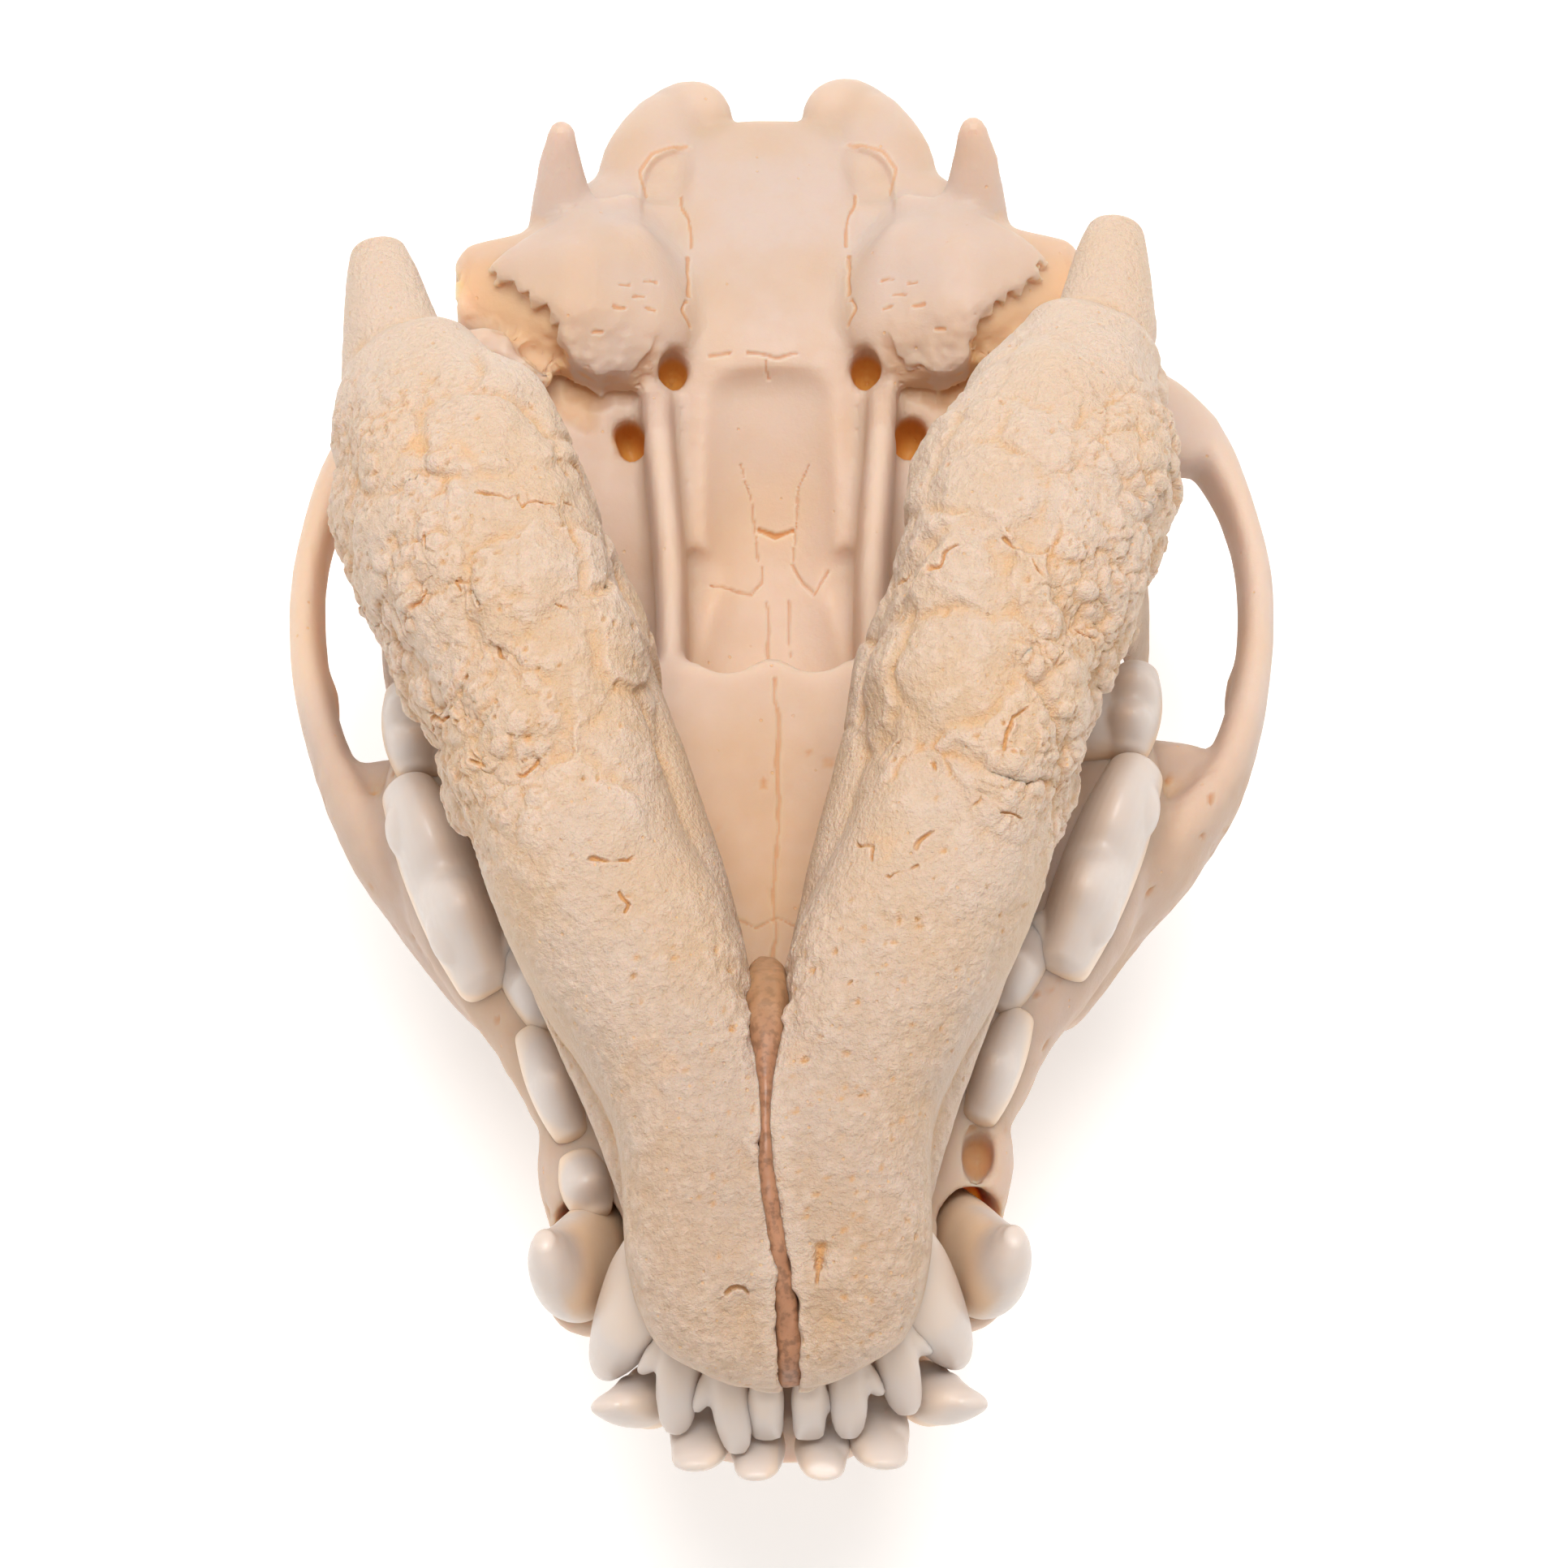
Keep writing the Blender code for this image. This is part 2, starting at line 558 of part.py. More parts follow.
def jaw_neck_rows(side, play=0.0):
    rows = [(30.0, 88, 8.0, 3.2, 4.8), (29.2, 93.0, 0.0, 2.6, 3.8), (28.6, 96.0, -4.0, 3.4, 2.8)]
    return [(side * x, y, z, wide + play, tall + play) for x, y, z, wide, tall in rows]


def jaw_pieces(side, home):
    """One half of the lower jaw, thickened below by rough new bone. Its front runs past the midline."""
    body = [
        (0.4, 3.7, 12.4, 3.0, 2.6, 0.0, 2.4),
        (0.6, 4.8, 13.4, 6.2, 3.8, 0.0, 2.6),
        (1.0, 7.0, 14.4, 9.0, 5.0, 0.0, 2.8),
        (1.8, 10.5, 15.0, 10.0, 6.2, 0.0, 3.0),
        (3.0, 15, 15.5, 9.9, 7.0, 0.0, 3.2),
        (4.6, 22, 16.4, 8.5, 7.8, 0.0, 3.2),
        (6.2, 27, 16.9, 7.9, 8.2, 0.0, 3.1),
        (8.5, 32, 17.6, 8.0, 8.8, 0.0, 2.9),
        (10.8, 37, 18.2, 8.7, 9.4, 0.0, 2.7),
        (14.3, 44, 19.0, 8.7, 10.2, 0.0, 2.5),
        (16.6, 51, 19.6, 8.7, 11.0, 0.0, 2.5),
        (18.1, 58, 19.8, 9.3, 11.4, 0.0, 2.5),
        (20.1, 65, 19.8, 9.8, 11.6, 0.0, 2.5),
        (22.3, 71, 19.8, 10.7, 11.6, 0.0, 2.5),
        (24.8, 78, 18.6, 10.8, 11.2, 0.0, 2.5),
        (27.0, 85, 17.0, 9.2, 9.8, 0.0, 2.4),
        (29.2, 91, 15.8, 6.6, 7.6, 0.0, 2.4),
    ]
    loft(f"jaw_body_{side}", [(side * x, *rest) for x, *rest in body], home, count=28)
    core = [
        (7.6, 36, 15.0, 6.0, 7.4),
        (9.6, 43, 15.6, 6.6, 8.2),
        (11.8, 50, 15.8, 6.8, 8.6),
        (14.0, 57, 15.8, 7.0, 8.8),
        (16.6, 65, 15.6, 7.4, 8.8),
        (19.6, 73, 15.2, 7.6, 8.6),
    ]
    loft(f"jaw_core_{side}", [(side * x, *rest) for x, *rest in core], home, power=2.6)
    shelf = [
        (8.6, 14, 12.0, 3.0, 3.4),
        (12.0, 26, 12.0, 3.4, 3.6),
        (16.2, 38, 12.0, 4.0, 3.8),
        (20.0, 50, 12.0, 4.2, 3.8),
        (23.6, 62, 12.0, 4.2, 3.8),
        (27.4, 71, 11.0, 3.8, 3.8),
    ]
    loft(f"tooth_shelf_{side}", [(side * x, *rest) for x, *rest in shelf], home, power=2.6)
    hook = [
        (29.6, 88.0, 15.2, 5.6, 6.2),
        (31.0, 95.0, 15.8, 4.4, 4.6),
        (31.8, 100.5, 15.8, 3.3, 3.5),
        (32.2, 103.0, 15.6, 2.6, 2.6),
    ]
    loft(f"angular_process_{side}", [(side * x, *rest) for x, *rest in hook], home)
    blade = [
        (30.0, 80.0, 12.0, 5.0, 10.5),
        (31.2, 80.6, 2.0, 2.6, 9.6),
        (32.8, 81.2, -9.0, 1.6, 9.2),
        (34.0, 82.4, -20.0, 1.35, 8.4),
        (34.2, 84.4, -28.0, 1.2, 5.6),
        (34.0, 85.8, -31.6, 1.0, 3.4),
    ]
    blade = [(side * x + min(max(12 - z, 0), 25) * CORONOID_LEAN, y, z, *rest) for x, y, z, *rest in blade]
    loft(f"coronoid_process_{side}", blade, home, up=(0, 1, 0), power=2.6)
    loft(f"jaw_neck_{side}", jaw_neck_rows(side), home, up=(0, 1, 0))
    loft(f"jaw_condyle_{side}", condyle_rows(side), home)


def lower_teeth(side, home):
    incisors = [(1.75, 3.5, 1.8, 0.2, 1.6), (4.9, 4.8, 4.8, -0.2, 1.8), (8.6, 7.0, 9.6, 1.8, 2.0)]
    for n, (x, y, tip_x, tip_y, half) in enumerate(incisors):
        x, tip_x = side * x + LOWER_INCISOR_SHIFT, side * tip_x + LOWER_INCISOR_SHIFT
        root, neck, tip = (x * 0.85, y + 4.5, 14.5), (x, y, 10.6), (tip_x, tip_y, 5.0)
        tooth_cone(f"lower_incisor_{n}_{side}", root, neck, tip, half, half, home, taper=(1.0, 1.0, 0.8))
    tooth_cone(
        f"lower_canine_{side}",
        (side * 8.4, 17.0, 14.0),
        (side * 11.8, 10.8, 9.4),
        (side * 15.0, 7.8, -1.2),
        3.9,
        2.9,
        home,
        count=10,
        taper=(0.84, 0.48, 0.24),
    )
    cheek = [
        (11.2, 19.5, 12.0, 23.0, 3.0, 3.6, (0.5, 1.0, 0.6)),
        (12.6, 25.0, 14.8, 32.0, 4.4, 3.6, (0.4, 1.0, 0.7, 0.4)),
        (15.2, 33.0, 17.6, 40.0, 5.0, 3.8, (0.4, 1.0, 0.75, 0.4)),
        (17.8, 40.8, 19.6, 47.4, 5.4, 4.2, (0.4, 1.0, 0.8, 0.45)),
        (20.2, 48.4, 23.4, 62.6, 8.0, 4.8, (0.4, 0.74, 0.7, 1.0, 0.6, 0.46, 0.36)),
        (23.8, 63.6, 25.4, 69.6, 3.4, 4.6, (0.5, 1.0, 0.8, 0.5)),
    ]
    for n, (x0, y0, x1, y1, tall, wide, crown) in enumerate(cheek):
        start, end = (side * x0, y0, 9.4), (side * x1, y1, 9.4)
        tooth_blade(f"lower_cheek_tooth_{n}_{side}", start, end, tall, wide, crown, home, up=-1)


def share_between(low, high, value):
    """0 below low, 1 above high and a smooth rise between them."""
    part = min(max((value - low) / (high - low), 0), 1)
    return part * part * (3 - 2 * part)


def growth_weight(point):
    """How much new bone lies here: most on the swelling, none at its ends, near the teeth or inside."""
    ends = share_between(38, 52, point.y) * share_between(97, 88, point.y)
    inner_edge = 5.8 + 0.2 * abs(point.y - 58)
    return ends * share_between(8, 14, point.z) * share_between(inner_edge, inner_edge + 3, abs(point.x))


def growth_height(point):
    """How far the new bone's lumps and overlapping plates stand out, in millimetres."""
    lump = noise.noise(point / 7.0) * 0.6 + noise.noise(point / 3.4 + Vector((9, 2, 5))) * 0.3
    strayed = point + noise.noise_vector(point / 5.0) * 1.8
    reach, centres = noise.voronoi(strayed / PLATE_SIZE)
    dome = 0.7 - reach[0] + noise.cell(centres[0] * 7.3) * 0.4
    return lump + dome * share_between(0, 0.2, reach[1] - reach[0]) * PLATE_HEIGHT - 0.3


def roughen(obj):
    """Raises the new bone over the swollen part of the jaw."""
    for vert in obj.data.vertices:
        point = skull_point(vert.co)
        weight = growth_weight(point)
        if weight > 0:
            vert.co += vert.normal * growth_height(point) * weight * MM


def turn_jaw(obj):
    """The lower jaw sits a little turned in the upper one, and to the right."""
    pivot = world((*JAW_PIVOT, 0))
    shifted = pivot + Vector((JAW_SHIFT, 0, 0)) * MM
    turn = Matrix.Translation(shifted) @ Matrix.Rotation(JAW_TURN, 4, "Z") @ Matrix.Translation(-pivot)
    obj.data.transform(turn)
    return obj


def build_bulla(side, home):
    """The ear capsule under the skull, flattened and spread by the bone's overgrowth."""
    rows = [
        (9.2, 107.2, -9.2, 5.2, 4.4),
        (12.6, 106.6, -7.8, 8.2, 6.2),
        (18.0, 107.8, -7.2, 7.6, 7.0),
        (22.6, 108.6, -7.9, 5.6, 6.0),
        (26.6, 109.0, -8.7, 4.4, 4.7),
    ]
    name = f"tympanic_bulla_{SIDE_NAMES[side]}"
    bulla = loft(name, [(side * x, *rest) for x, *rest in rows], home, power=2.7, count=24)
    cutters = new_collection("ear_cutters")
    ball("ear_canal", (side * 28.6, 108.8, -8.4), (4.4, 2.3, 2.3), cutters, rings=10)
    carve(bulla, cutters)
    soften(bulla, 3)
    thin_out(bulla, BULLA_TRIANGLES)
    largest_body(bulla)
    return bulla


def build_cranium(bullae, home):
    pieces = new_collection("cranium_pieces")
    braincase_pieces(pieces)
    skull_base_pieces(pieces)
    muzzle_pieces(pieces)
    brow_pieces(pieces)
    whole = block("cranium", (-3, 55, -35), (3, 60, -28), home)
    fuse(whole, pieces)
    cutters = new_collection("cranium_cutters")
    cranium_cutters(cutters)
    carve(whole, cutters)
    soften(whole, 4)
    largest_body(whole)
    thin_out(whole, CRANIUM_TRIANGLES)
    pockets = new_collection("pockets")
    for bulla in bullae:
        grown_copy(bulla, bulla.name + "_pocket", GAP * 1.2, pockets)
    for side in SIDES:
        turn_jaw(loft(f"condyle_socket_{side}", condyle_rows(side, SOCKET_PLAY), pockets))
        turn_jaw(loft(f"neck_room_{side}", jaw_neck_rows(side, SOCKET_PLAY), pockets, up=(0, 1, 0)))
    block("floor_cut", (-FAR, -FAR, -FAR), (FAR, FAR, -PALATE_HEIGHT), pockets)
    carve(whole, pockets)
    return whole


def part_cranium(whole, teeth, home):
    """Divides the cranium with thin cuts into its four main regions and the two cheek bars."""
    left, right = ARCH_SHIFT - ARCH_CUT, ARCH_SHIFT + ARCH_CUT
    front, back = FACE_CUT - GAP / 2, FACE_CUT + GAP / 2
    crown_side, mouth_side = LEVEL_CUT - GAP / 2, LEVEL_CUT + GAP / 2
    boxes = {
        "upper_jaw": ((left, -FAR, mouth_side), (right, front, FAR)),
        "forehead": ((left, -FAR, -FAR), (right, front, crown_side)),
        "skull_base": ((left, back, mouth_side), (right, FAR, FAR)),
        "braincase": ((left, back, -FAR), (right, FAR, crown_side)),
        "zygomatic_arch_left": ((-FAR, -FAR, -FAR), (left - GAP, FAR, FAR)),
        "zygomatic_arch_right": ((right + GAP, -FAR, -FAR), (FAR, FAR, FAR)),
    }
    parts = [keep_inside(whole, name, low, high, home) for name, (low, high) in boxes.items()]
    fuse(parts[0], teeth)
    largest_body(parts[0])
    bpy.data.objects.remove(whole, do_unlink=True)
    return parts


def build_jaw(side, home):
    pieces = new_collection("jaw_pieces")
    jaw_pieces(side, pieces)
    jaw = block(f"mandible_{SIDE_NAMES[side]}", (side * 22 - 2, 60, 18), (side * 22 + 2, 64, 22), home)
    fuse(jaw, pieces)
    soften(jaw, 4)
    roughen(jaw)
    thin_out(jaw, JAW_TRIANGLES)
    teeth = new_collection("lower_teeth")
    lower_teeth(side, teeth)
    fuse(jaw, teeth)
    cut = new_collection("symphysis_cut")
    near, far = sorted((side * SYMPHYSIS_HALF, -side * FAR))
    block("symphysis_cut", (near, -FAR, -FAR), (far, FAR, FAR), cut)
    carve(jaw, cut)
    largest_body(jaw)
    return turn_jaw(jaw)


def build_symphysis(home):
    """The dry fibrous strip that still holds the two halves of the jaw together."""
    half = SYMPHYSIS_HALF - GAP
    rows = [(4.6, 13.4, half, 2.6), (13, 15.2, half, 5.2), (24, 16.8, half, 6.4), (33, 18.4, half, 5.4)]
    strip = loft("symphysis_fibre", [(0, *row) for row in rows], home, power=3, count=12, round_ends=0.5)
    return turn_jaw(strip)


def paint(obj, look):
    """Gives the object a material of its own."""
    colour, roughness = look
    made = bpy.data.materials.new(obj.name)
    made.use_nodes = True
    shader = made.node_tree.nodes["Principled BSDF"]
    shader.inputs["Base Color"].default_value = (*colour, 1)
    shader.inputs["Roughness"].default_value = roughness
    obj.data.materials.clear()
    obj.data.materials.append(made)


def main():
    clear_scene()
    skull = new_collection("dog_skull")
    teeth = new_collection("upper_teeth")
    for side in SIDES:
        upper_front_teeth(side, teeth)
        upper_cheek_teeth(side, teeth)
    bullae = [build_bulla(side, skull) for side in SIDES]
    cranium = build_cranium(bullae, skull)
    for obj in [*bullae, *part_cranium(cranium, teeth, skull)]:
        paint(obj, BONE)
    for side in SIDES:
        paint(build_jaw(side, skull), ROUGH_BONE)
    paint(build_symphysis(skull), FIBRE)


main()
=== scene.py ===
"""Skull of a young terrier with its lower jaw, lying on its crown with the underside up.

Sizes inside the shapes are in millimetres in the skull's own frame: minus x is the dog's left, y runs from the
front teeth back to the neck, and z runs from the roof of the mouth towards the underside.
"""

import itertools
import json
import math

import bmesh
import bpy
import numpy as np
from bpy.props import FloatProperty, FloatVectorProperty, PointerProperty
from bpy.types import Operator, Panel, PropertyGroup
from mathutils import Matrix, Vector, noise

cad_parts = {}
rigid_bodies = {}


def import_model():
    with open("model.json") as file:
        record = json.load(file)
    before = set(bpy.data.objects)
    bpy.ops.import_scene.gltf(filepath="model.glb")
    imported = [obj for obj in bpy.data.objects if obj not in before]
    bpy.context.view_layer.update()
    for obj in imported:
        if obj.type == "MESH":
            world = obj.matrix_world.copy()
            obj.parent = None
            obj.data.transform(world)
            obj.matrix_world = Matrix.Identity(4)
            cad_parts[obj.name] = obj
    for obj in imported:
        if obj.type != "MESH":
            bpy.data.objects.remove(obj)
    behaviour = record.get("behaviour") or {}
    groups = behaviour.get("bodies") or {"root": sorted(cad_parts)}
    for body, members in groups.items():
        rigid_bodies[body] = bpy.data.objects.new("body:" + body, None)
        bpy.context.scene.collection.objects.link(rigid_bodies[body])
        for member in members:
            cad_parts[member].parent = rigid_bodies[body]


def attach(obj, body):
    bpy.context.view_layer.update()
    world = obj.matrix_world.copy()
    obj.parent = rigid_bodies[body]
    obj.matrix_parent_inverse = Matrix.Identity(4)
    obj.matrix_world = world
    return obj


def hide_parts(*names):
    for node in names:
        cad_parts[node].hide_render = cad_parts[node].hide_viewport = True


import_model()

bl_info = {
    "name": "Dog Skull",
    "version": (1, 0, 0),
    "blender": (4, 5, 0),
    "location": "3D View > Sidebar > Skull",
    "description": "Builds a terrier's skull with overgrown jaws, its teeth and a pale studio floor",
    "category": "Add Mesh",
}

MM = 0.001
PALATE_HEIGHT = 53.0
MID_LENGTH = 64.35
MID_WIDTH = 0.95
GAP = 0.3
JAW_TURN = math.radians(1.3)
JAW_PIVOT = (0.6, 0.0)
JAW_SHIFT = 0.5
CORONOID_LEAN = 0.03
ARCH_SHIFT = 0.9
INCISOR_SHIFT = 1.0
TEETH_SKEW = 0.6
SYMPHYSIS_HALF = 0.8
FAR = 150
SIDES = (-1, 1)
SIDE_NAMES = {-1: "left", 1: "right"}
BODY = "root"
CRANIUM_NODES = (
    "upper_jaw",
    "forehead",
    "skull_base",
    "braincase",
    "zygomatic_arch_left",
    "zygomatic_arch_right",
    "tympanic_bulla_left",
    "tympanic_bulla_right",
)


# Sizes and colours

def colour_property(name, description, default):
    return FloatVectorProperty(
        name=name, description=description, default=default, size=3, min=0, max=1, subtype="COLOR"
    )


def length_property(name, description, default):
    return FloatProperty(name=name, description=description, default=default, min=0, unit="LENGTH")


class SkullSizes(PropertyGroup):
    """Sizes of the fine forms."""

    cranium_grain: length_property("Cranium grain", "Edge length of the cranium's mesh", 0.0005)
    jaw_grain: length_property("Jaw grain", "Edge length of the jaw's mesh", 0.0003)
    tooth_grain: length_property("Tooth grain", "Edge length of a tooth's mesh", 0.00024)
    plate_size: length_property("Growth plates", "Width of the plates of new bone on the jaw", 0.0085)
    plate_height: length_property("Plate height", "How far a plate of new bone stands out", 0.0013)
    flake_size: length_property("Growth flakes", "Width of the thin flakes on the plates", 0.0034)
    nodule_size: length_property("Growth nodules", "Width of the small knobs on the jaw's outer side", 0.0019)
    crack_depth: length_property("Crack depth", "Depth of the cracks between the plates", 0.0006)
    suture_depth: length_property("Suture depth", "Depth of the lines where skull bones meet", 0.00025)
    translucency: length_property("Translucency", "How far light spreads inside the bone", 0.0036)


class SkullColours(PropertyGroup):
    """Colours of the bone, the teeth and the floor."""

    bone: colour_property("Bone", "Smooth bone of the cranium", (0.575, 0.44, 0.362))
    growth: colour_property("New bone", "Rough new bone on the jaw", (0.61, 0.458, 0.345))
    # deep: painted warm shade for hollows, recesses and the bone under plate edges and beside the teeth; also the
    # colour of the pores and, darkened, of the fibre's top
    deep: colour_property("Hollows", "Bone in hollows and on old edges", (0.70, 0.41, 0.19))
    # glow: painted glow of light through the thin bone between the jaws and deep in the throat, and painted light on
    # the left cheek bar
    glow: colour_property("Glow", "Thin bone between the jaws, which light shines through", (0.90, 0.62, 0.40))
    # crack: painted shade at the bottoms of cracks, pits and nerve holes and under the capsule plate's front edge, and
    # the dark colour of the sutures
    crack: colour_property("Cracks", "Bottoms of cracks, pits and nerve holes", (0.64, 0.28, 0.058))
    # pale: painted highlight on raised spots of the bone and on the back part of the jaw; on the teeth, a paler tone
    # in patches and in creases
    pale: colour_property("Edges", "Bone on worn edges and high spots", (0.68, 0.55, 0.46))
    enamel: colour_property("Enamel", "Crowns of the teeth", (0.62, 0.54, 0.49))
    # neck: cream near the gum, and painted warm shade on the inner faces of the teeth
    neck: colour_property("Tooth necks", "Teeth near the bone and on their inner faces", (0.86, 0.60, 0.37))
    fibre: colour_property("Fibre", "Dried cartilage between the jaw halves", (0.35, 0.165, 0.085))
    floor: colour_property("Floor", "Studio floor", (0.97, 0.97, 0.97))


# Points, meshes and solids

def world(point):
    """A point of the skull's frame, in millimetres, as a place in the scene, in metres."""
    x, y, z = point
    return Vector((x - MID_WIDTH, y - MID_LENGTH, z + PALATE_HEIGHT)) * MM


def skull_points(obj):
    """The object's points in the skull's frame."""
    places = np.empty(len(obj.data.vertices) * 3, np.float32)
    obj.data.vertices.foreach_get("co", places)
    return places.reshape(-1, 3).astype(float) / MM + (MID_WIDTH, MID_LENGTH, -PALATE_HEIGHT)


def normals_of(obj):
    found = np.empty(len(obj.data.vertices) * 3, np.float32)
    obj.data.vertices.foreach_get("normal", found)
    return found.reshape(-1, 3).astype(float)


def place_points(obj, points):
    places = (points - (MID_WIDTH, MID_LENGTH, -PALATE_HEIGHT)) * MM
    obj.data.vertices.foreach_set("co", places.astype(np.float32).reshape(-1))
    obj.data.update()


def new_collection(name):
    made = bpy.data.collections.new(name)
    bpy.context.scene.collection.children.link(made)
    return made


def remove_objects(collection):
    for piece in list(collection.objects):
        bpy.data.objects.remove(piece, do_unlink=True)
    bpy.data.collections.remove(collection)


def catmull(rows, t):
    """Rows of numbers read at t, from 0 to the number of rows less one, along a smooth curve."""
    last = len(rows) - 1
    i = min(int(t), last - 1)
    f = t - i
    a, b, c, d = (rows[min(max(i + k, 0), last)] for k in (-1, 0, 1, 2))
    return [
        0.5 * (2 * q + (r - p) * f + (2 * p - 5 * q + 4 * r - s) * f * f + (3 * q - p - 3 * r + s) * f**3)
        for p, q, r, s in zip(a, b, c, d)
    ]


def section(centre, along, up, half_side, half_up, flare, power, count):
    """One ring of a loft: an oval, squarer with a higher power, and wider towards up with a flare above 0."""
    side_axis = along.cross(up).normalized()
    up_axis = side_axis.cross(along).normalized()
    points = []
    for k in range(count):
        c, s = math.cos(math.tau * k / count), math.sin(math.tau * k / count)
        across = math.copysign(abs(c) ** (2 / power), c) * half_side * (1 + flare * s)
        rise = math.copysign(abs(s) ** (2 / power), s) * half_up
        points.append(centre + side_axis * across + up_axis * rise)
    return points


def finish_mesh(name, mesh, home):
    bmesh.ops.recalc_face_normals(mesh, faces=mesh.faces)
    data = bpy.data.meshes.new(name)
    mesh.to_mesh(data)
    mesh.free()
    made = bpy.data.objects.new(name, data)
    home.objects.link(made)
    return made


def loft(name, rows, home, up=(0, 0, 1), power=2.2, count=32, steps=8, round_ends=0.6):
    """A closed solid through oval sections.

    A row is x, y, z, half width and half height, and then, if given, its flare and its power.
    """
    rows = [(*row, *(0.0, power)[len(row) - 5 :]) for row in rows]
    total = (len(rows) - 1) * steps
    read = [catmull(rows, k / steps) for k in range(total)] + [list(rows[-1])]
    centres = [Vector(r[:3]) for r in read]
    rings = []
    for k, (centre, r) in enumerate(zip(centres, read)):
        along = (centres[min(k + 1, total)] - centres[max(k - 1, 0)]).normalized()
        rings.append(section(centre, along, Vector(up), *r[3:], count))
        if k not in (0, total):
            continue
        way = -1 if k == 0 else 1
        for turn in (0.3, 0.55, 0.8, 0.95):
            end = centre + along * way * min(r[3], r[4]) * round_ends * turn
            shrink = math.sqrt(1 - turn * turn)
            cap = section(end, along, Vector(up), r[3] * shrink, r[4] * shrink, *r[5:], count)
            rings.insert(0 if k == 0 else len(rings), cap)
    mesh = bmesh.new()
    made = [[mesh.verts.new(world(p)) for p in points] for points in rings]
    for lower, upper in zip(made, made[1:]):
        for k in range(count):
            n = (k + 1) % count
            mesh.faces.new((lower[k], lower[n], upper[n], upper[k]))
    mesh.faces.new(made[0])
    mesh.faces.new(made[-1])
    return finish_mesh(name, mesh, home)


def ball(name, centre, halves, home, rings=16):
    """An ellipsoid with its half sizes along x, y and z."""
    mesh = bmesh.new()
    bmesh.ops.create_uvsphere(mesh, u_segments=rings + 8, v_segments=rings, radius=1)
    stretch = Matrix.Diagonal((*(h * MM for h in halves), 1))
    mesh.transform(Matrix.Translation(world(centre)) @ stretch)
    return finish_mesh(name, mesh, home)


def block(name, low, high, home):
    """A box between two corners."""
    mesh = bmesh.new()
    bmesh.ops.create_cube(mesh, size=1)
    size = [(b - a) * MM for a, b in zip(low, high)]
    middle = world([(a + b) / 2 for a, b in zip(low, high)])
    mesh.transform(Matrix.Translation(middle) @ Matrix.Diagonal((*size, 1)))
    return finish_mesh(name, mesh, home)


def slab(name, outline, low, high, home):
    """A flat solid with an outline in x and y."""
    mesh = bmesh.new()
    floor = [mesh.verts.new(world((x, y, low))) for x, y in outline]
    roof = [mesh.verts.new(world((x, y, high))) for x, y in outline]
    mesh.faces.new(floor)
    mesh.faces.new(roof)
    for k in range(len(outline)):
        n = (k + 1) % len(outline)
        mesh.faces.new((floor[k], floor[n], roof[n], roof[k]))
    return finish_mesh(name, mesh, home)


def mirrored(side, rows):
    """Rows given for the right side, put on this side."""
    return [(side * x, *rest) for x, *rest in rows]


def apply_modifiers(obj):
    """Makes the object's mesh the one that its modifiers give."""
    bpy.context.view_layer.update()
    graph = bpy.context.evaluated_depsgraph_get()
    data = bpy.data.meshes.new_from_object(obj.evaluated_get(graph))
    obj.modifiers.clear()
    obj.data = data


def boolean(obj, operation, pieces):
    """Joins a collection's closed meshes to obj or cuts them from it, and removes them."""
    modifier = obj.modifiers.new(operation.lower(), "BOOLEAN")
    modifier.operation = operation
    modifier.solver = "MANIFOLD"
    modifier.operand_type = "COLLECTION"
    modifier.collection = pieces
    apply_modifiers(obj)
    remove_objects(pieces)


def fused(name, pieces):
    """One solid from a collection's closed meshes."""
    first = pieces.objects[0]
    made = bpy.data.objects.new(name, first.data.copy())
    bpy.context.scene.collection.objects.link(made)
    bpy.data.objects.remove(first, do_unlink=True)
    if pieces.objects:
        boolean(made, "UNION", pieces)
    else:
        bpy.data.collections.remove(pieces)
    return made


def soften(obj, grain, rounds):
    """Makes the mesh even, and rounds the creases where fused pieces meet."""
    remesh = obj.modifiers.new("remesh", "REMESH")
    remesh.mode = "VOXEL"
    remesh.voxel_size = grain
    smooth = obj.modifiers.new("smooth", "SMOOTH")
    smooth.factor = 0.5
    smooth.iterations = rounds
    apply_modifiers(obj)


def largest_body(obj):
    """Keeps only the largest closed surface of the mesh."""
    ends = edge_ends(obj)
    label = np.arange(len(obj.data.vertices))
    while True:
        low = np.minimum(label[ends[:, 0]], label[ends[:, 1]])
        new = label.copy()
        np.minimum.at(new, ends[:, 0], low)
        np.minimum.at(new, ends[:, 1], low)
        new = new[new]
        if (new == label).all():
            break
        label = new
    names, counts = np.unique(label, return_counts=True)
    if len(names) == 1:
        return
    loose = np.flatnonzero(label != names[counts.argmax()])
    mesh = bmesh.new()
    mesh.from_mesh(obj.data)
    mesh.verts.ensure_lookup_table()
    bmesh.ops.delete(mesh, geom=[mesh.verts[k] for k in loose], context="VERTS")
    mesh.to_mesh(obj.data)
    mesh.free()


def refine(obj, chosen):
    """Splits the mesh's faces between the chosen points, so that thin lines keep their edges."""
    mesh = bmesh.new()
    mesh.from_mesh(obj.data)
    edges = [edge for edge in mesh.edges if all(chosen[vert.index] for vert in edge.verts)]
    bmesh.ops.subdivide_edges(mesh, edges=edges, cuts=2, use_grid_fill=True)
    mesh.to_mesh(obj.data)
    mesh.free()


def joined(name, parts):
    """Several closed meshes as one object."""
    mesh = bmesh.new()
    for part in parts:
        mesh.from_mesh(part.data)
        bpy.data.objects.remove(part, do_unlink=True)
    return finish_mesh(name, mesh, bpy.context.scene.collection)


def edge_ends(obj):
    ends = np.empty(len(obj.data.edges) * 2, np.int32)
    obj.data.edges.foreach_get("vertices", ends)
    return ends.reshape(-1, 2)


# Numbers over a surface

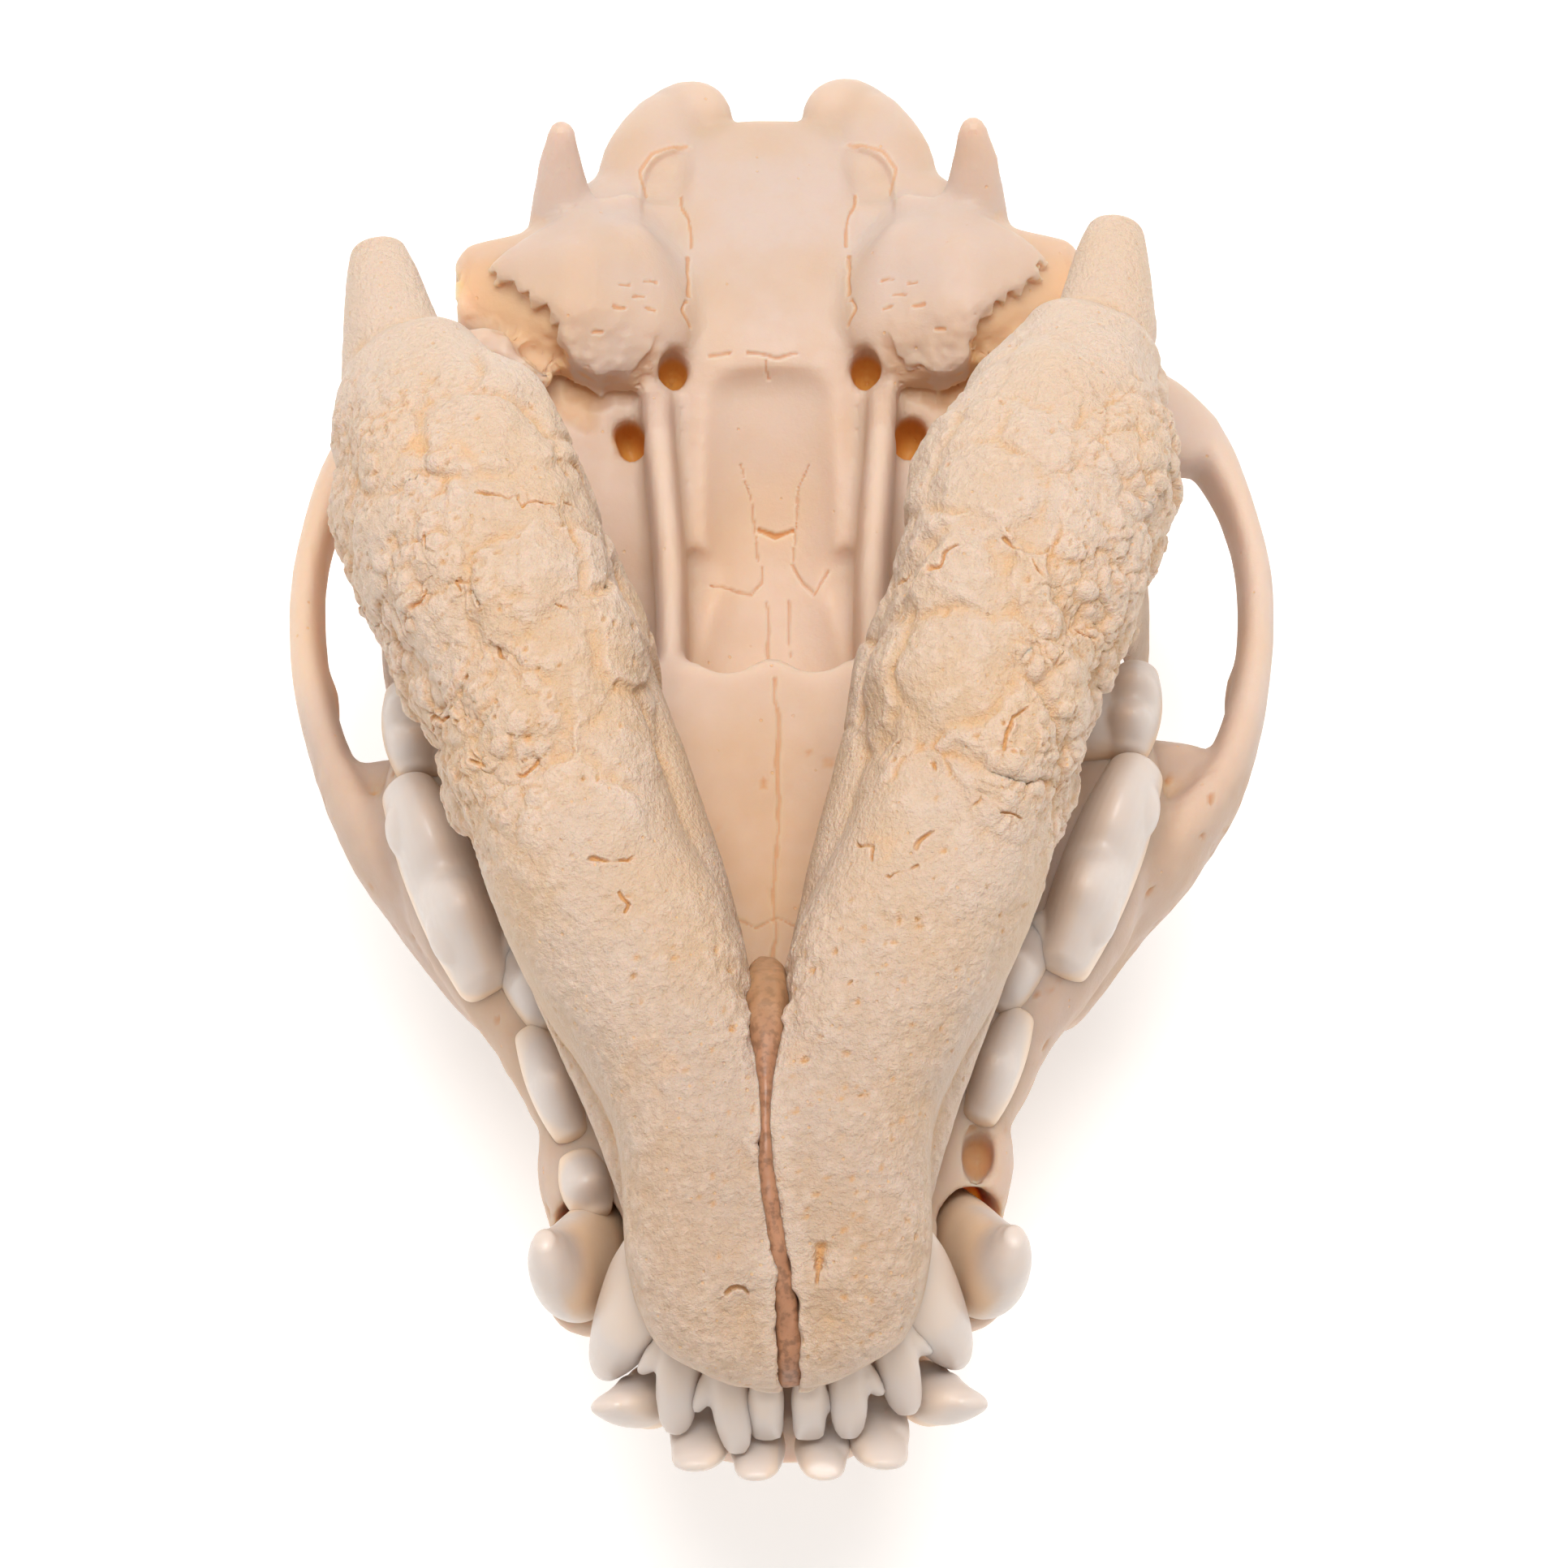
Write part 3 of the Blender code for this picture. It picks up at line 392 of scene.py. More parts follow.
def smoothstep(low, high, value):
    part = np.clip((value - low) / (high - low), 0, 1)
    return part * part * (3 - 2 * part)


def cell_number(cells, seed):
    """A repeatable number from 0 to 1 for each cell of a cubic lattice."""
    mixed = (cells * (73856093, 19349663, 83492791)).sum(-1) + seed * 7919 & 0x7FFFFFFF
    mixed = (mixed ^ mixed >> 13) * 1274126177 & 0x7FFFFFFF
    mixed = (mixed ^ mixed >> 15) * 1103515245 & 0x7FFFFFFF
    return (mixed ^ mixed >> 16) % 65536 / 65535


def hills(points, size, seed):
    """Soft random heights between -1 and 1, about size apart."""
    turned = points @ TURN / size
    base = np.floor(turned).astype(np.int64)
    part = turned - base
    part = part * part * (3 - 2 * part)
    total = np.zeros(len(points))
    for corner in itertools.product((0, 1), repeat=3):
        total += np.where(corner, part, 1 - part).prod(-1) * cell_number(base + corner, seed)
    return total * 2 - 1


def knobs(points, size, seed):
    """Distances to the nearest and next nearest of scattered centres, and a number for the nearest one."""
    scaled = points / size
    base = np.floor(scaled).astype(np.int64)
    near = np.full(len(points), 9.0)
    second = near.copy()
    tone = np.zeros(len(points))
    for step in itertools.product((-1, 0, 1), repeat=3):
        cell = base + step
        centre = cell + np.stack([cell_number(cell, seed + k) for k in range(3)], -1)
        distance = np.linalg.norm(scaled - centre, axis=-1)
        closer = distance < near
        second = np.where(closer, near, np.minimum(second, distance))
        tone = np.where(closer, cell_number(cell, seed + 3), tone)
        near = np.where(closer, distance, near)
    return near, second, tone


def warped(points, size, amount, seed):
    """The points moved about by soft noise, so that what is laid out on them wanders."""
    shift = np.stack([hills(points, size, seed + k) for k in range(3)], -1)
    return points + shift * amount


def line_share(points, lines, wander=0.0):
    """How near each point is to drawn lines, seen along z: 1 on a line, 0 from its half width on."""
    flat = points[:, :2]
    width = 1.0
    if wander:
        flat = flat + np.stack([hills(points, 1.6, 70 + k) for k in (0, 1)], -1) * wander
        width = 0.85 + 0.55 * hills(points, 1.1, 72)
    share = np.zeros(len(points))
    for half, marks in lines:
        for (x0, y0), (x1, y1) in zip(marks, marks[1:]):
            start, run = np.array((x0, y0)), np.array((x1 - x0, y1 - y0))
            along = np.clip(((flat - start) @ run) / (run @ run), 0, 1)
            distance = np.linalg.norm(flat - start - along[:, None] * run, axis=-1)
            share = np.maximum(share, 1 - smoothstep(0.35, 1.0, distance / (half * width)))
    return share


def edge_distance(points, outline):
    """How far outside an outline each point lies, seen along z. Inside it is negative."""
    flat = points[:, :2]
    nearest, inside = np.full(len(points), 99.0), np.zeros(len(points), bool)
    for start, end in zip(outline, outline[1:] + outline[:1]):
        start, run = np.array(start), np.array(end) - start
        along = np.clip(((flat - start) @ run) / (run @ run), 0, 1)
        nearest = np.minimum(nearest, np.linalg.norm(flat - start - along[:, None] * run, axis=-1))
        crossed = (start[1] > flat[:, 1]) != (end[1] > flat[:, 1])
        inside ^= crossed & (flat[:, 0] < start[0] + (flat[:, 1] - start[1]) * run[0] / run[1])
    return np.where(inside, -nearest, nearest)


def spot_share(points, spots):
    """How near each point is to round spots, seen along z. A spot is x, y and radius."""
    share = np.zeros(len(points))
    for x, y, radius in spots:
        distance = np.hypot(points[:, 0] - x, points[:, 1] - y) / radius
        share = np.maximum(share, 1 - smoothstep(0.4, 1.0, distance))
    return share


def neighbour_mean(values, ends, counts):
    total = np.stack(
        [
            np.bincount(ends[:, 0], values[ends[:, 1], k], len(values))
            + np.bincount(ends[:, 1], values[ends[:, 0], k], len(values))
            for k in range(values.shape[1])
        ],
        -1,
    )
    return total / counts[:, None]


def sunkenness(obj, rounds):
    """How far each point lies below the surface smoothed over its surroundings, in millimetres."""
    ends = edge_ends(obj)
    points = skull_points(obj)
    counts = np.maximum(np.bincount(ends.reshape(-1), minlength=len(points)), 1)
    smooth = points
    for _ in range(rounds):
        smooth = neighbour_mean(smooth, ends, counts)
    return ((smooth - points) * normals_of(obj)).sum(-1)


def keep_number(obj, name, values):
    """Stores a number for each point, which the material reads by its name."""
    layer = obj.data.attributes.new(name, "FLOAT", "POINT")
    layer.data.foreach_set("value", np.clip(values, 0, 1).astype(np.float32))


def kept_number(obj, name):
    found = np.empty(len(obj.data.vertices), np.float32)
    obj.data.attributes[name].data.foreach_get("value", found)
    return found.astype(float)


def shade_smooth(obj):
    obj.data.polygons.foreach_set("use_smooth", [True] * len(obj.data.polygons))


TURN = np.array(Matrix.Rotation(0.7, 3, (0.36, 0.48, 0.8)))


# Shapes of the cranium

def braincase_pieces(home):
    """The domed case round the brain, with the crests, processes and joint knobs at the back of the head."""
    profile = [
        (54, -38.0, -24, 12.0),
        (62, -47.0, -20, 15.0),
        (70, -51.2, -17, 18.0),
        (78, -52.4, -15, 20.5),
        (88, -53.3, -12, 24.6),
        (98, -53.5, -10, 27.0),
        (108, -51.2, -9, 26.4),
        (116, -46.6, -9.5, 23.0),
        (122, -41.5, -11.5, 18.0),
        (125.5, -36.0, -15, 12.0),
    ]
    rows = [(0, y, (top + base) / 2, wide, (base - top) / 2) for y, top, base, wide in profile]
    loft("braincase", rows, home, power=2.25, count=96)
    ridge = [(92, -52.0, 1.4, 0.8), (102, -51.6, 1.5, 1.2), (113, -48.0, 1.5, 1.8), (125, -40.6, 2.2, 2.0)]
    loft("sagittal_crest", [(0, *row) for row in ridge], home)
    ball("occipital_protuberance", (0, 125.5, -40.5), (4.2, 3.0, 2.8), home)
    for side in SIDES:
        nuchal = [
            (0, 126.2, -41, 1.4, 2.0),
            (side * 9, 125.0, -39.5, 1.3, 2.0),
            (side * 17, 120.5, -33.5, 1.3, 2.2),
            (side * 22.6, 115.0, -24.5, 1.3, 2.2),
            (side * 24.5, 111.0, -15.5, 1.8, 2.4),
        ]
        loft(f"nuchal_crest_{side}", nuchal, home, up=(0, 1, 0))
        ball(f"mastoid_{side}", (side * 23.6, 111.5, -12.5), (2.8, 3.2, 4.2), home)
        condyle = [
            (5.0, 125.8, -12.8, 2.0, 2.2),
            (7.2, 128.0, -13.6, 3.6, 4.3),
            (10.6, 125.2, -17.0, 4.2, 4.8),
            (11.2, 123.0, -22.5, 3.0, 3.4),
        ]
        loft(f"occipital_condyle_{side}", mirrored(side, condyle), home, up=(0, 1, 0))
        root = [(9.0, 128.0, -13.2, 3.6, 3.2), (10.6, 122.5, -12.0, 5.0, 3.4), (11, 114, -11, 5, 3)]
        loft(f"condyle_root_{side}", mirrored(side, root), home)
        process = [
            (18.4, 112.5, -11.5, 3.6, 4.0),
            (18.8, 115.6, -7.0, 2.9, 3.2),
            (18.9, 118.8, -3.2, 2.0, 2.2),
            (18.7, 121.6, -0.3, 1.3, 1.2),
        ]
        loft(f"paracondylar_process_{side}", mirrored(side, process), home, up=(1, 0, 0))
        ball(f"process_bump_{side}", (side * 19.9, 119.2, -2.9), (1.2, 1.5, 1.5), home)
        wing = [(10, 120.8, -14, 4.0, 5.0), (16, 116.4, -12.6, 4.2, 5.4), (21.4, 112, -13, 4.2, 5.6)]
        loft(f"exoccipital_{side}", mirrored(side, wing), home)


def skull_base_pieces(home):
    """The floor of the braincase, with the jaw's sockets and the thin crests behind the palate."""
    plate = [
        (0, 86, -13.4, 8.6, 3.0),
        (0, 96, -11.2, 9.4, 3.0),
        (0, 104, -9.5, 10.0, 3.2),
        (0, 114, -9.5, 10.5, 3.2),
        (0, 122, -11.2, 9.0, 3.0),
        (0, 125.6, -12.4, 6.0, 2.4),
    ]
    loft("base_plate", plate, home, power=2.8)
    roof = [(0, 62, -20.5, 8.8, 5.5), (0, 74, -19.5, 8.8, 4.5), (0, 88, -16.0, 8.6, 4.0)]
    loft("throat_roof", roof, home, power=2.6)
    for side in SIDES:
        crest = [
            (8.9, 62, -9.2, 1.5, 8.4),
            (8.9, 70, -9.2, 1.5, 8.0),
            (9.0, 80, -9.8, 1.5, 7.6),
            (9.7, 89, -9.6, 1.5, 6.8),
            (10.2, 95.5, -8.8, 1.5, 4.6),
            (10.2, 98.6, -8.8, 1.4, 2.4),
        ]
        loft(f"pterygoid_{side}", mirrored(side, crest), home, power=3.0, count=24)
        temple = [
            (13, 78, -19.0, 4.5, 5.0),
            (14.5, 88, -15.0, 6.0, 5.2),
            (16.5, 97, -13.2, 8.2, 4.6),
            (17.0, 105, -12.0, 8.4, 4.2),
        ]
        loft(f"alisphenoid_{side}", mirrored(side, temple), home, power=2.5)
        socket = [
            (side * 20, 98.4, -13.8, 5.4, 4.2),
            (side * 27, 98.6, -13.2, 5.2, 4.2),
            (side * 33.5 + ARCH_SHIFT / 2, 98.0, -13.2, 4.6, 3.9),
            (side * 38.0 + ARCH_SHIFT, 95.6, -14.4, 3.2, 3.8),
        ]
        loft(f"jaw_socket_{side}", socket, home, power=2.6)
        stop = [(25.8, 101.4, -11.5, 4.4, 1.9), (25.9, 101.8, -6.5, 3.9, 1.6), (26.0, 102.0, -2.8, 2.8, 1.1)]
        loft(f"retroarticular_process_{side}", mirrored(side, stop), home, up=(0, 1, 0))
        ledge = [(20.5, 99.2, -6.0, 1.0, 2.4), (24.0, 100.6, -4.6, 1.0, 2.2), (27.6, 102.2, -5.0, 0.9, 2.0)]
        loft(f"ear_ridge_{side}", mirrored(side, ledge), home)


def arch_rows(side):
    """The cheek's bar, from its root over the large cutting tooth back to the jaw's socket."""
    rows = [
        (22.5, 45.5, -13.5, 6.5, 8.0, 0.0),
        (28.6, 50.0, -11.6, 4.6, 8.4, 0.0),
        (34.8, 55.4, -10.8, 3.2, 7.2, 0.5),
        (39.6, 62.6, -11.6, 2.1, 6.0, 1.0),
        (42.4, 72.0, -13.6, 1.7, 5.0, 1.0),
        (43.2, 82.0, -15.2, 1.5, 4.6, 1.0),
        (41.4, 91.0, -15.6, 1.6, 4.5, 1.0),
        (37.4, 97.0, -15.0, 2.6, 4.3, 1.0),
        (30.4, 99.8, -14.4, 4.0, 4.0, 0.5),
    ]
    return [(side * x + ARCH_SHIFT * shift, y, z, wide, tall) for x, y, z, wide, tall, shift in rows]


def muzzle_pieces(home):
    """The muzzle with its nose bones, and the shelf of the palate with the bone that holds the teeth."""
    profile = [
        (1.6, -8.0, -0.8, 6.5, 9.6),
        (6, -14.0, -0.4, 8.0, 12.6),
        (12, -20.5, -0.2, 8.6, 15.6),
        (18, -22.6, -0.2, 8.8, 17.0),
        (26, -24.6, -0.2, 9.4, 16.8),
        (34, -27.4, -0.2, 11.0, 19.4),
        (42, -31.6, -0.3, 13.0, 24.0),
        (49, -36.4, -0.8, 14.6, 27.6),
        (54, -41.0, -3.6, 15.4, 26.0),
    ]
    rows = []
    for y, top, base, narrow, wide in profile:
        flare = (wide - narrow) / (wide + narrow)
        rows.append((0.4, y, (top + base) / 2, (narrow + wide) / 2, (base - top) / 2, flare))
    loft("muzzle", rows, home, power=2.7, count=64)
    nasals = [(6.5, -19.0, 5.6, 1.9), (16, -21.4, 6.8, 2.6), (34, -25.6, 7.4, 3.2), (50, -34.5, 8.4, 4.4)]
    loft("nasals", [(0, *row) for row in nasals], home)
    palate = [
        (3, -2.4, 9.0, 2.4),
        (14, -2.6, 13.6, 2.4),
        (30, -2.8, 15.6, 2.4),
        (44, -2.8, 21.0, 2.4),
        (58, -2.8, 23.0, 2.4),
        (69.8, -3.0, 12.4, 2.2),
    ]
    loft("palate", [(0, *row) for row in palate], home, power=3.2, count=40)
    for side in SIDES:
        bed = [
            (12.5, 16, -5.0, 5.6, 5.4),
            (15.0, 27, -4.6, 4.4, 5.0),
            (20.0, 38, -4.6, 4.8, 5.2),
            (25.8, 49, -5.2, 6.2, 5.6),
            (28.2, 60, -5.6, 6.2, 5.4),
            (25.6, 67.6, -6.6, 3.8, 3.6),
        ]
        loft(f"tooth_bed_{side}", mirrored(side, bed), home, power=2.6)
        rim = [(15.6, 20.0, -5.0, 3.8, 4.8), (16.6, 24.8, -4.4, 3.9, 4.7), (16.6, 29.6, -4.6, 3.6, 4.4)]
        loft(f"socket_rim_{side}", mirrored(side, rim), home, power=2.4)
        bulge = [(15.8, 15.0, -2.0, 4.6, 5.4), (14.6, 19.5, -9.0, 4.2, 5.0), (11.2, 27, -16, 3.4, 4)]
        loft(f"canine_bulge_{side}", mirrored(side, bulge), home, up=(0, 1, 0))
        cheek = [
            (9.0, 34, -18.5, 5.5, 8.0),
            (12.0, 42, -21.5, 6.6, 10.4),
            (14.4, 48.5, -25.5, 6.8, 12.4),
            (15.2, 53.0, -29.5, 5.6, 12.6),
        ]
        loft(f"cheek_{side}", mirrored(side, cheek), home)
        for n, (x, y) in enumerate(((21.5, 38.0), (23.6, 43.4), (28.6, 46.0), (32.4, 54.0))):
            swelling = [(-1.2, 0, -2.0, 1.3), (-0.6, 0.6, -6.0, 1.2), (-2.2, 1.0, -10.0, 0.9)]
            rows = [(x + off, y + back, z, half, half) for off, back, z, half in swelling]
            loft(f"root_swelling_{n}_{side}", mirrored(side, rows), home, up=(0, 1, 0), count=20)


def brow_pieces(home):
    """The forehead, the front rims and inner walls of the eye sockets, and the cheek bars."""
    wall = [(48, -22, 12.5, 14), (58, -23, 11.0, 15), (68, -24, 10.6, 15), (78, -26, 13.0, 14)]
    loft("orbit_wall", [(0, *row) for row in wall], home, power=2.4, count=48)
    forehead = [
        (46, -32.6, 8.0, 5.0),
        (52, -38.6, 9.6, 6.6),
        (58, -43.6, 11.6, 7.2),
        (65, -46.6, 14.0, 5.8),
        (73, -47.4, 15.0, 5.0),
        (84, -46.0, 14.0, 5.0),
    ]
    loft("forehead", [(0, *row) for row in forehead], home, power=2.4, count=48)
    for side in SIDES:
        frontal = [
            (6.0, 44.5, -32.6, 5.0, 4.0),
            (6.8, 50.5, -38.6, 6.6, 5.4),
            (8.4, 57.5, -43.8, 7.8, 6.6),
            (9.8, 64.0, -47.4, 8.8, 6.1),
            (9.8, 70.0, -47.4, 9.2, 5.4),
            (9.0, 77.0, -45.4, 9.0, 4.8),
            (8.0, 84.0, -43.0, 8.0, 4.0),
        ]
        loft(f"frontal_{side}", mirrored(side, frontal), home, count=48)
        tip = [(13.0, 65.5, -47.0, 5.6, 4.8), (18.6, 68.0, -45.8, 3.9, 3.6), (23.2, 70.4, -43.0, 2.0, 2.0)]
        loft(f"brow_process_{side}", mirrored(side, tip), home)
        rim = [
            (14.6, 58.5, -43.5, 3.8, 3.8),
            (18.4, 55.2, -36.0, 3.0, 3.2),
            (21.4, 53.0, -28.0, 3.2, 3.4),
            (25.6, 52.6, -20.0, 4.0, 4.2),
            (31.6, 55.2, -14.4, 3.8, 4.2),
        ]
        loft(f"orbit_rim_{side}", mirrored(side, rim), home, up=(0, 1, 0))
        loft(f"zygomatic_arch_{side}", arch_rows(side), home, power=2.4, count=32)
        shelf = [(26.5, 60.4, -9.2, 3.4, 3.6), (32.0, 61.4, -9.6, 3.2, 3.6), (37.0, 61.6, -10.6, 2.8, 4.0)]
        shelf = [(side * x, y + side * TEETH_SKEW, *rest) for x, y, *rest in shelf]
        loft(f"arch_shelf_{side}", shelf, home, power=2.6)
        spur = [(41.6, 70.5, -16.5, 1.4, 4.4), (41.8, 71.6, -20.4, 1.2, 2.7), (41.8, 72.4, -23.4, 0.9, 1.2)]
        spur = [(side * x + ARCH_SHIFT, *rest) for x, *rest in spur]
        loft(f"arch_spur_{side}", spur, home, up=(0, 1, 0))


def cranium_cutters(home):
    """The skull's openings: nose, throat, nerve holes, the spine's hole and the sockets of teeth."""
    nose = [(-6, -10.0, 6.6, 5.0), (3.0, -11.2, 6.4, 5.6), (12, -12.6, 6.6, 6.2), (24, -14.5, 6.0, 5.6)]
    loft("nose_opening", [(0.4, *row) for row in nose], home)
    throat = [(58, -9.8, 6.6, 4.6), (70, -9.6, 7.0, 5.2), (82, -5.4, 7.2, 9.0), (97, -2.0, 7.8, 7.4)]
    loft("throat_passage", [(0, *row) for row in throat], home, power=2.8)
    spine = [(133, -20.5, 6.2, 6.0), (124, -20.5, 6.2, 6.2), (112, -22, 7.5, 8.0)]
    loft("spine_opening", [(0, *row) for row in spine], home)
    socket = [(17.5, 26.4, -1.0, 1.3, 3.6), (17.4, 24.8, -0.4, 1.35, 2.6), (17.2, 23.6, 0.4, 1.1, 1.6)]
    loft("empty_socket", socket, home, power=2.0)
    for side in SIDES:
        notch = [(3.8, 79.0, -2.5, 3.4, 5), (3.8, 72.6, -2.5, 3.3, 5)]
        loft(f"palate_notch_{side}", mirrored(side, notch), home, round_ends=1.0)
        canal = [(18.8, 36, -11.0, 2.0, 2.9), (21.0, 44, -12.0, 2.0, 2.8), (21.5, 49, -13.0, 1.8, 2.4)]
        loft(f"infraorbital_canal_{side}", mirrored(side, canal), home)
        hollow = [(9.0, 115.6, -5.2, 2.4, 1.4), (9.4, 119.0, -6.6, 2.9, 1.2), (9.4, 121.4, -8.1, 2.9, 1.0)]
        loft(f"condyle_hollow_{side}", mirrored(side, hollow), home)
        hole = [(13.2, 96.0, -9.5, 1.3, 5.0), (12.2, 93.6, -9.5, 1.4, 5.0)]
        loft(f"oval_hole_{side}", mirrored(side, hole), home, round_ends=0.5)
        ball(f"carotid_hole_{side}", (side * 8.9, 100.8, -8.0), (1.5, 1.8, 4.0), home)
        ball(f"ear_canal_{side}", (side * 29.4, 108.2, -8.4), (4.6, 2.3, 2.3), home)
        ball(f"optic_hole_{side}", (side * 12.4, 80.5, -21.0), (4.4, 2.0, 1.6), home)
        loft(f"canine_socket_{side}", canine_rows(side, 0.55, 0.5), home, up=(0, 1, 0))


def canine_rows(side, play=0.0, back=0.0):
    """The upper canine. play makes it larger all round and back moves it back, as a tool that cuts its socket."""
    rows = [
        (14.6, 21.5, -9.0, 2.3, 3.4),
        (15.8, 17.9, -4.0, 3.0, 4.5),
        (17.0, 15.3, 0.6, 3.1, 4.7),
        (18.1, 13.8, 5.6, 2.8, 4.1),
        (18.9, 13.4, 10.0, 2.2, 3.1),
        (19.3, 13.7, 12.8, 1.6, 2.2),
        (19.5, 14.2, 14.4, 1.0, 1.3),
    ]
    return [(side * x + 0.3, y + back, z, wide + play, long + play) for x, y, z, wide, long in rows]


def nose_scrolls(home):
    """The wall and the thin rolled leaves of bone inside the nose."""
    septum = [(0.4, 9.0, -12.4, 0.45, 6.4), (0.4, 24.0, -14.4, 0.45, 6.2)]
    loft("nose_wall", septum, home, power=3, count=16)
    for side in SIDES:
        for n, (off, low, tall) in enumerate(((2.4, -13.0, 3.6), (4.2, -13.6, 2.6))):
            leaf = [(0.4 + side * off, 11.0 + n, low, 0.4, tall), (0.4 + side * off, 24.0, low - 2, 0.4, tall)]
            loft(f"nose_leaf_{n}_{side}", leaf, home, power=3, count=16)


# Lines and marks of the cranium, in x and y

PALATE_LINES = [
    (0.22, [(0.3, 68.8), (0.4, 63.8), (0.5, 57.7), (0.3, 51.7), (0.1, 46.6), (0.0, 40.0)]),
    (0.15, [(-3.4, 46.4), (-1.6, 45.6), (0.2, 46.4), (2.4, 45.4)]),
]
THROAT_LINES = [
    (0.17, [(-5.5, 82.0), (-3.4, 81.8), (-1.7, 81.4), (-0.8, 82.4), (-0.8, 84.0)]),
    (0.17, [(1.9, 84.2), (2.9, 82.2), (3.8, 81.2), (4.6, 82.2), (5.2, 83.2)]),
    (0.15, [(-0.4, 80.6), (-0.4, 75.0)]),
    (0.15, [(1.5, 80.6), (1.6, 75.4)]),
    (0.13, [(-2.8, 93.0), (-2.0, 91.0), (-1.6, 88.1), (-1.1, 84.6)]),
    (0.13, [(3.5, 92.9), (2.6, 90.9), (2.3, 88.1), (2.1, 84.5)]),
    (0.20, [(-2.0, 101.9), (-0.9, 101.8), (0.6, 101.5), (2.6, 101.9)]),
    (0.16, [(-5.4, 101.8), (-3.6, 101.9)]),
    (0.20, [(-0.2, 101.2), (0.0, 100.0)]),
]
CAPSULE_LINES = [
    (0.20, [(8.2, 118.3), (7.4, 115.7), (7.2, 112.4)]),
    (0.22, [(7.3, 111.4), (7.4, 109.6), (7.1, 107.2)]),
    (0.24, [(7.2, 106.4), (7.6, 105.4), (7.3, 104.4)]),
    (0.26, [(13.4, 106.6), (12.6, 106.7)]),
    (0.24, [(11.2, 107.2), (10.3, 107.3)]),
    (0.28, [(14.1, 104.6), (13.2, 104.5)]),
    (0.24, [(11.2, 104.7), (10.4, 104.6)]),
    (0.22, [(12.4, 105.6), (11.4, 105.7)]),
    (0.26, [(15.9, 102.0), (15.1, 102.1)]),
]
SOCKET_LINES = [(0.26, [(11.3, 118.6), (11.7, 121.0), (10.6, 122.8), (8.7, 123.7), (7.6, 123.9)])]
THROAT_MARKS = [(0.30, [(-1.1, 87.2), (0.4, 86.7), (2.0, 87.2)])]
CROWN_LINES = [
    (0.30, [(0, 44), (0.3, 56), (-0.3, 66), (0.2, 78), (-0.2, 88)]),
    (0.28, [(-19, 86), (-10, 84), (-3, 86), (0, 88), (4, 86), (11, 84), (19, 86)]),
    (0.26, [(-7.5, 12), (-7.0, 30), (-5.5, 42), (-2.5, 47), (0, 45), (2.5, 47), (5.5, 42), (7.0, 30), (7.5, 12)]),
]


def build_cranium(sizes):
    """The cranium as one piece of bone, its lines and hollows included."""
    pieces = new_collection("cranium_pieces")
    braincase_pieces(pieces)
    skull_base_pieces(pieces)
    muzzle_pieces(pieces)
    brow_pieces(pieces)
    for side in SIDES:
        bulla_pieces(side, pieces)
    bone = fused("cranium_bone", pieces)
    cutters = new_collection("cranium_cutters")
    cranium_cutters(cutters)
    boolean(bone, "DIFFERENCE", cutters)
    scrolls = new_collection("nose_scrolls")
    nose_scrolls(scrolls)
    boolean(bone, "UNION", scrolls)
    soften(bone, sizes.cranium_grain, 5)
    pockets = new_collection("pockets")
    for side in SIDES:
        turned(loft(f"condyle_socket_{side}", condyle_rows(side, 0.5), pockets))
        turned(loft(f"neck_room_{side}", jaw_neck_rows(side, 0.6), pockets, up=(0, 1, 0)))
    block("floor_cut", (-FAR, -FAR, -FAR), (FAR, FAR, -PALATE_HEIGHT), pockets)
    boolean(bone, "DIFFERENCE", pockets)
    soften(bone, sizes.cranium_grain, 1)
    largest_body(bone)
    return bone


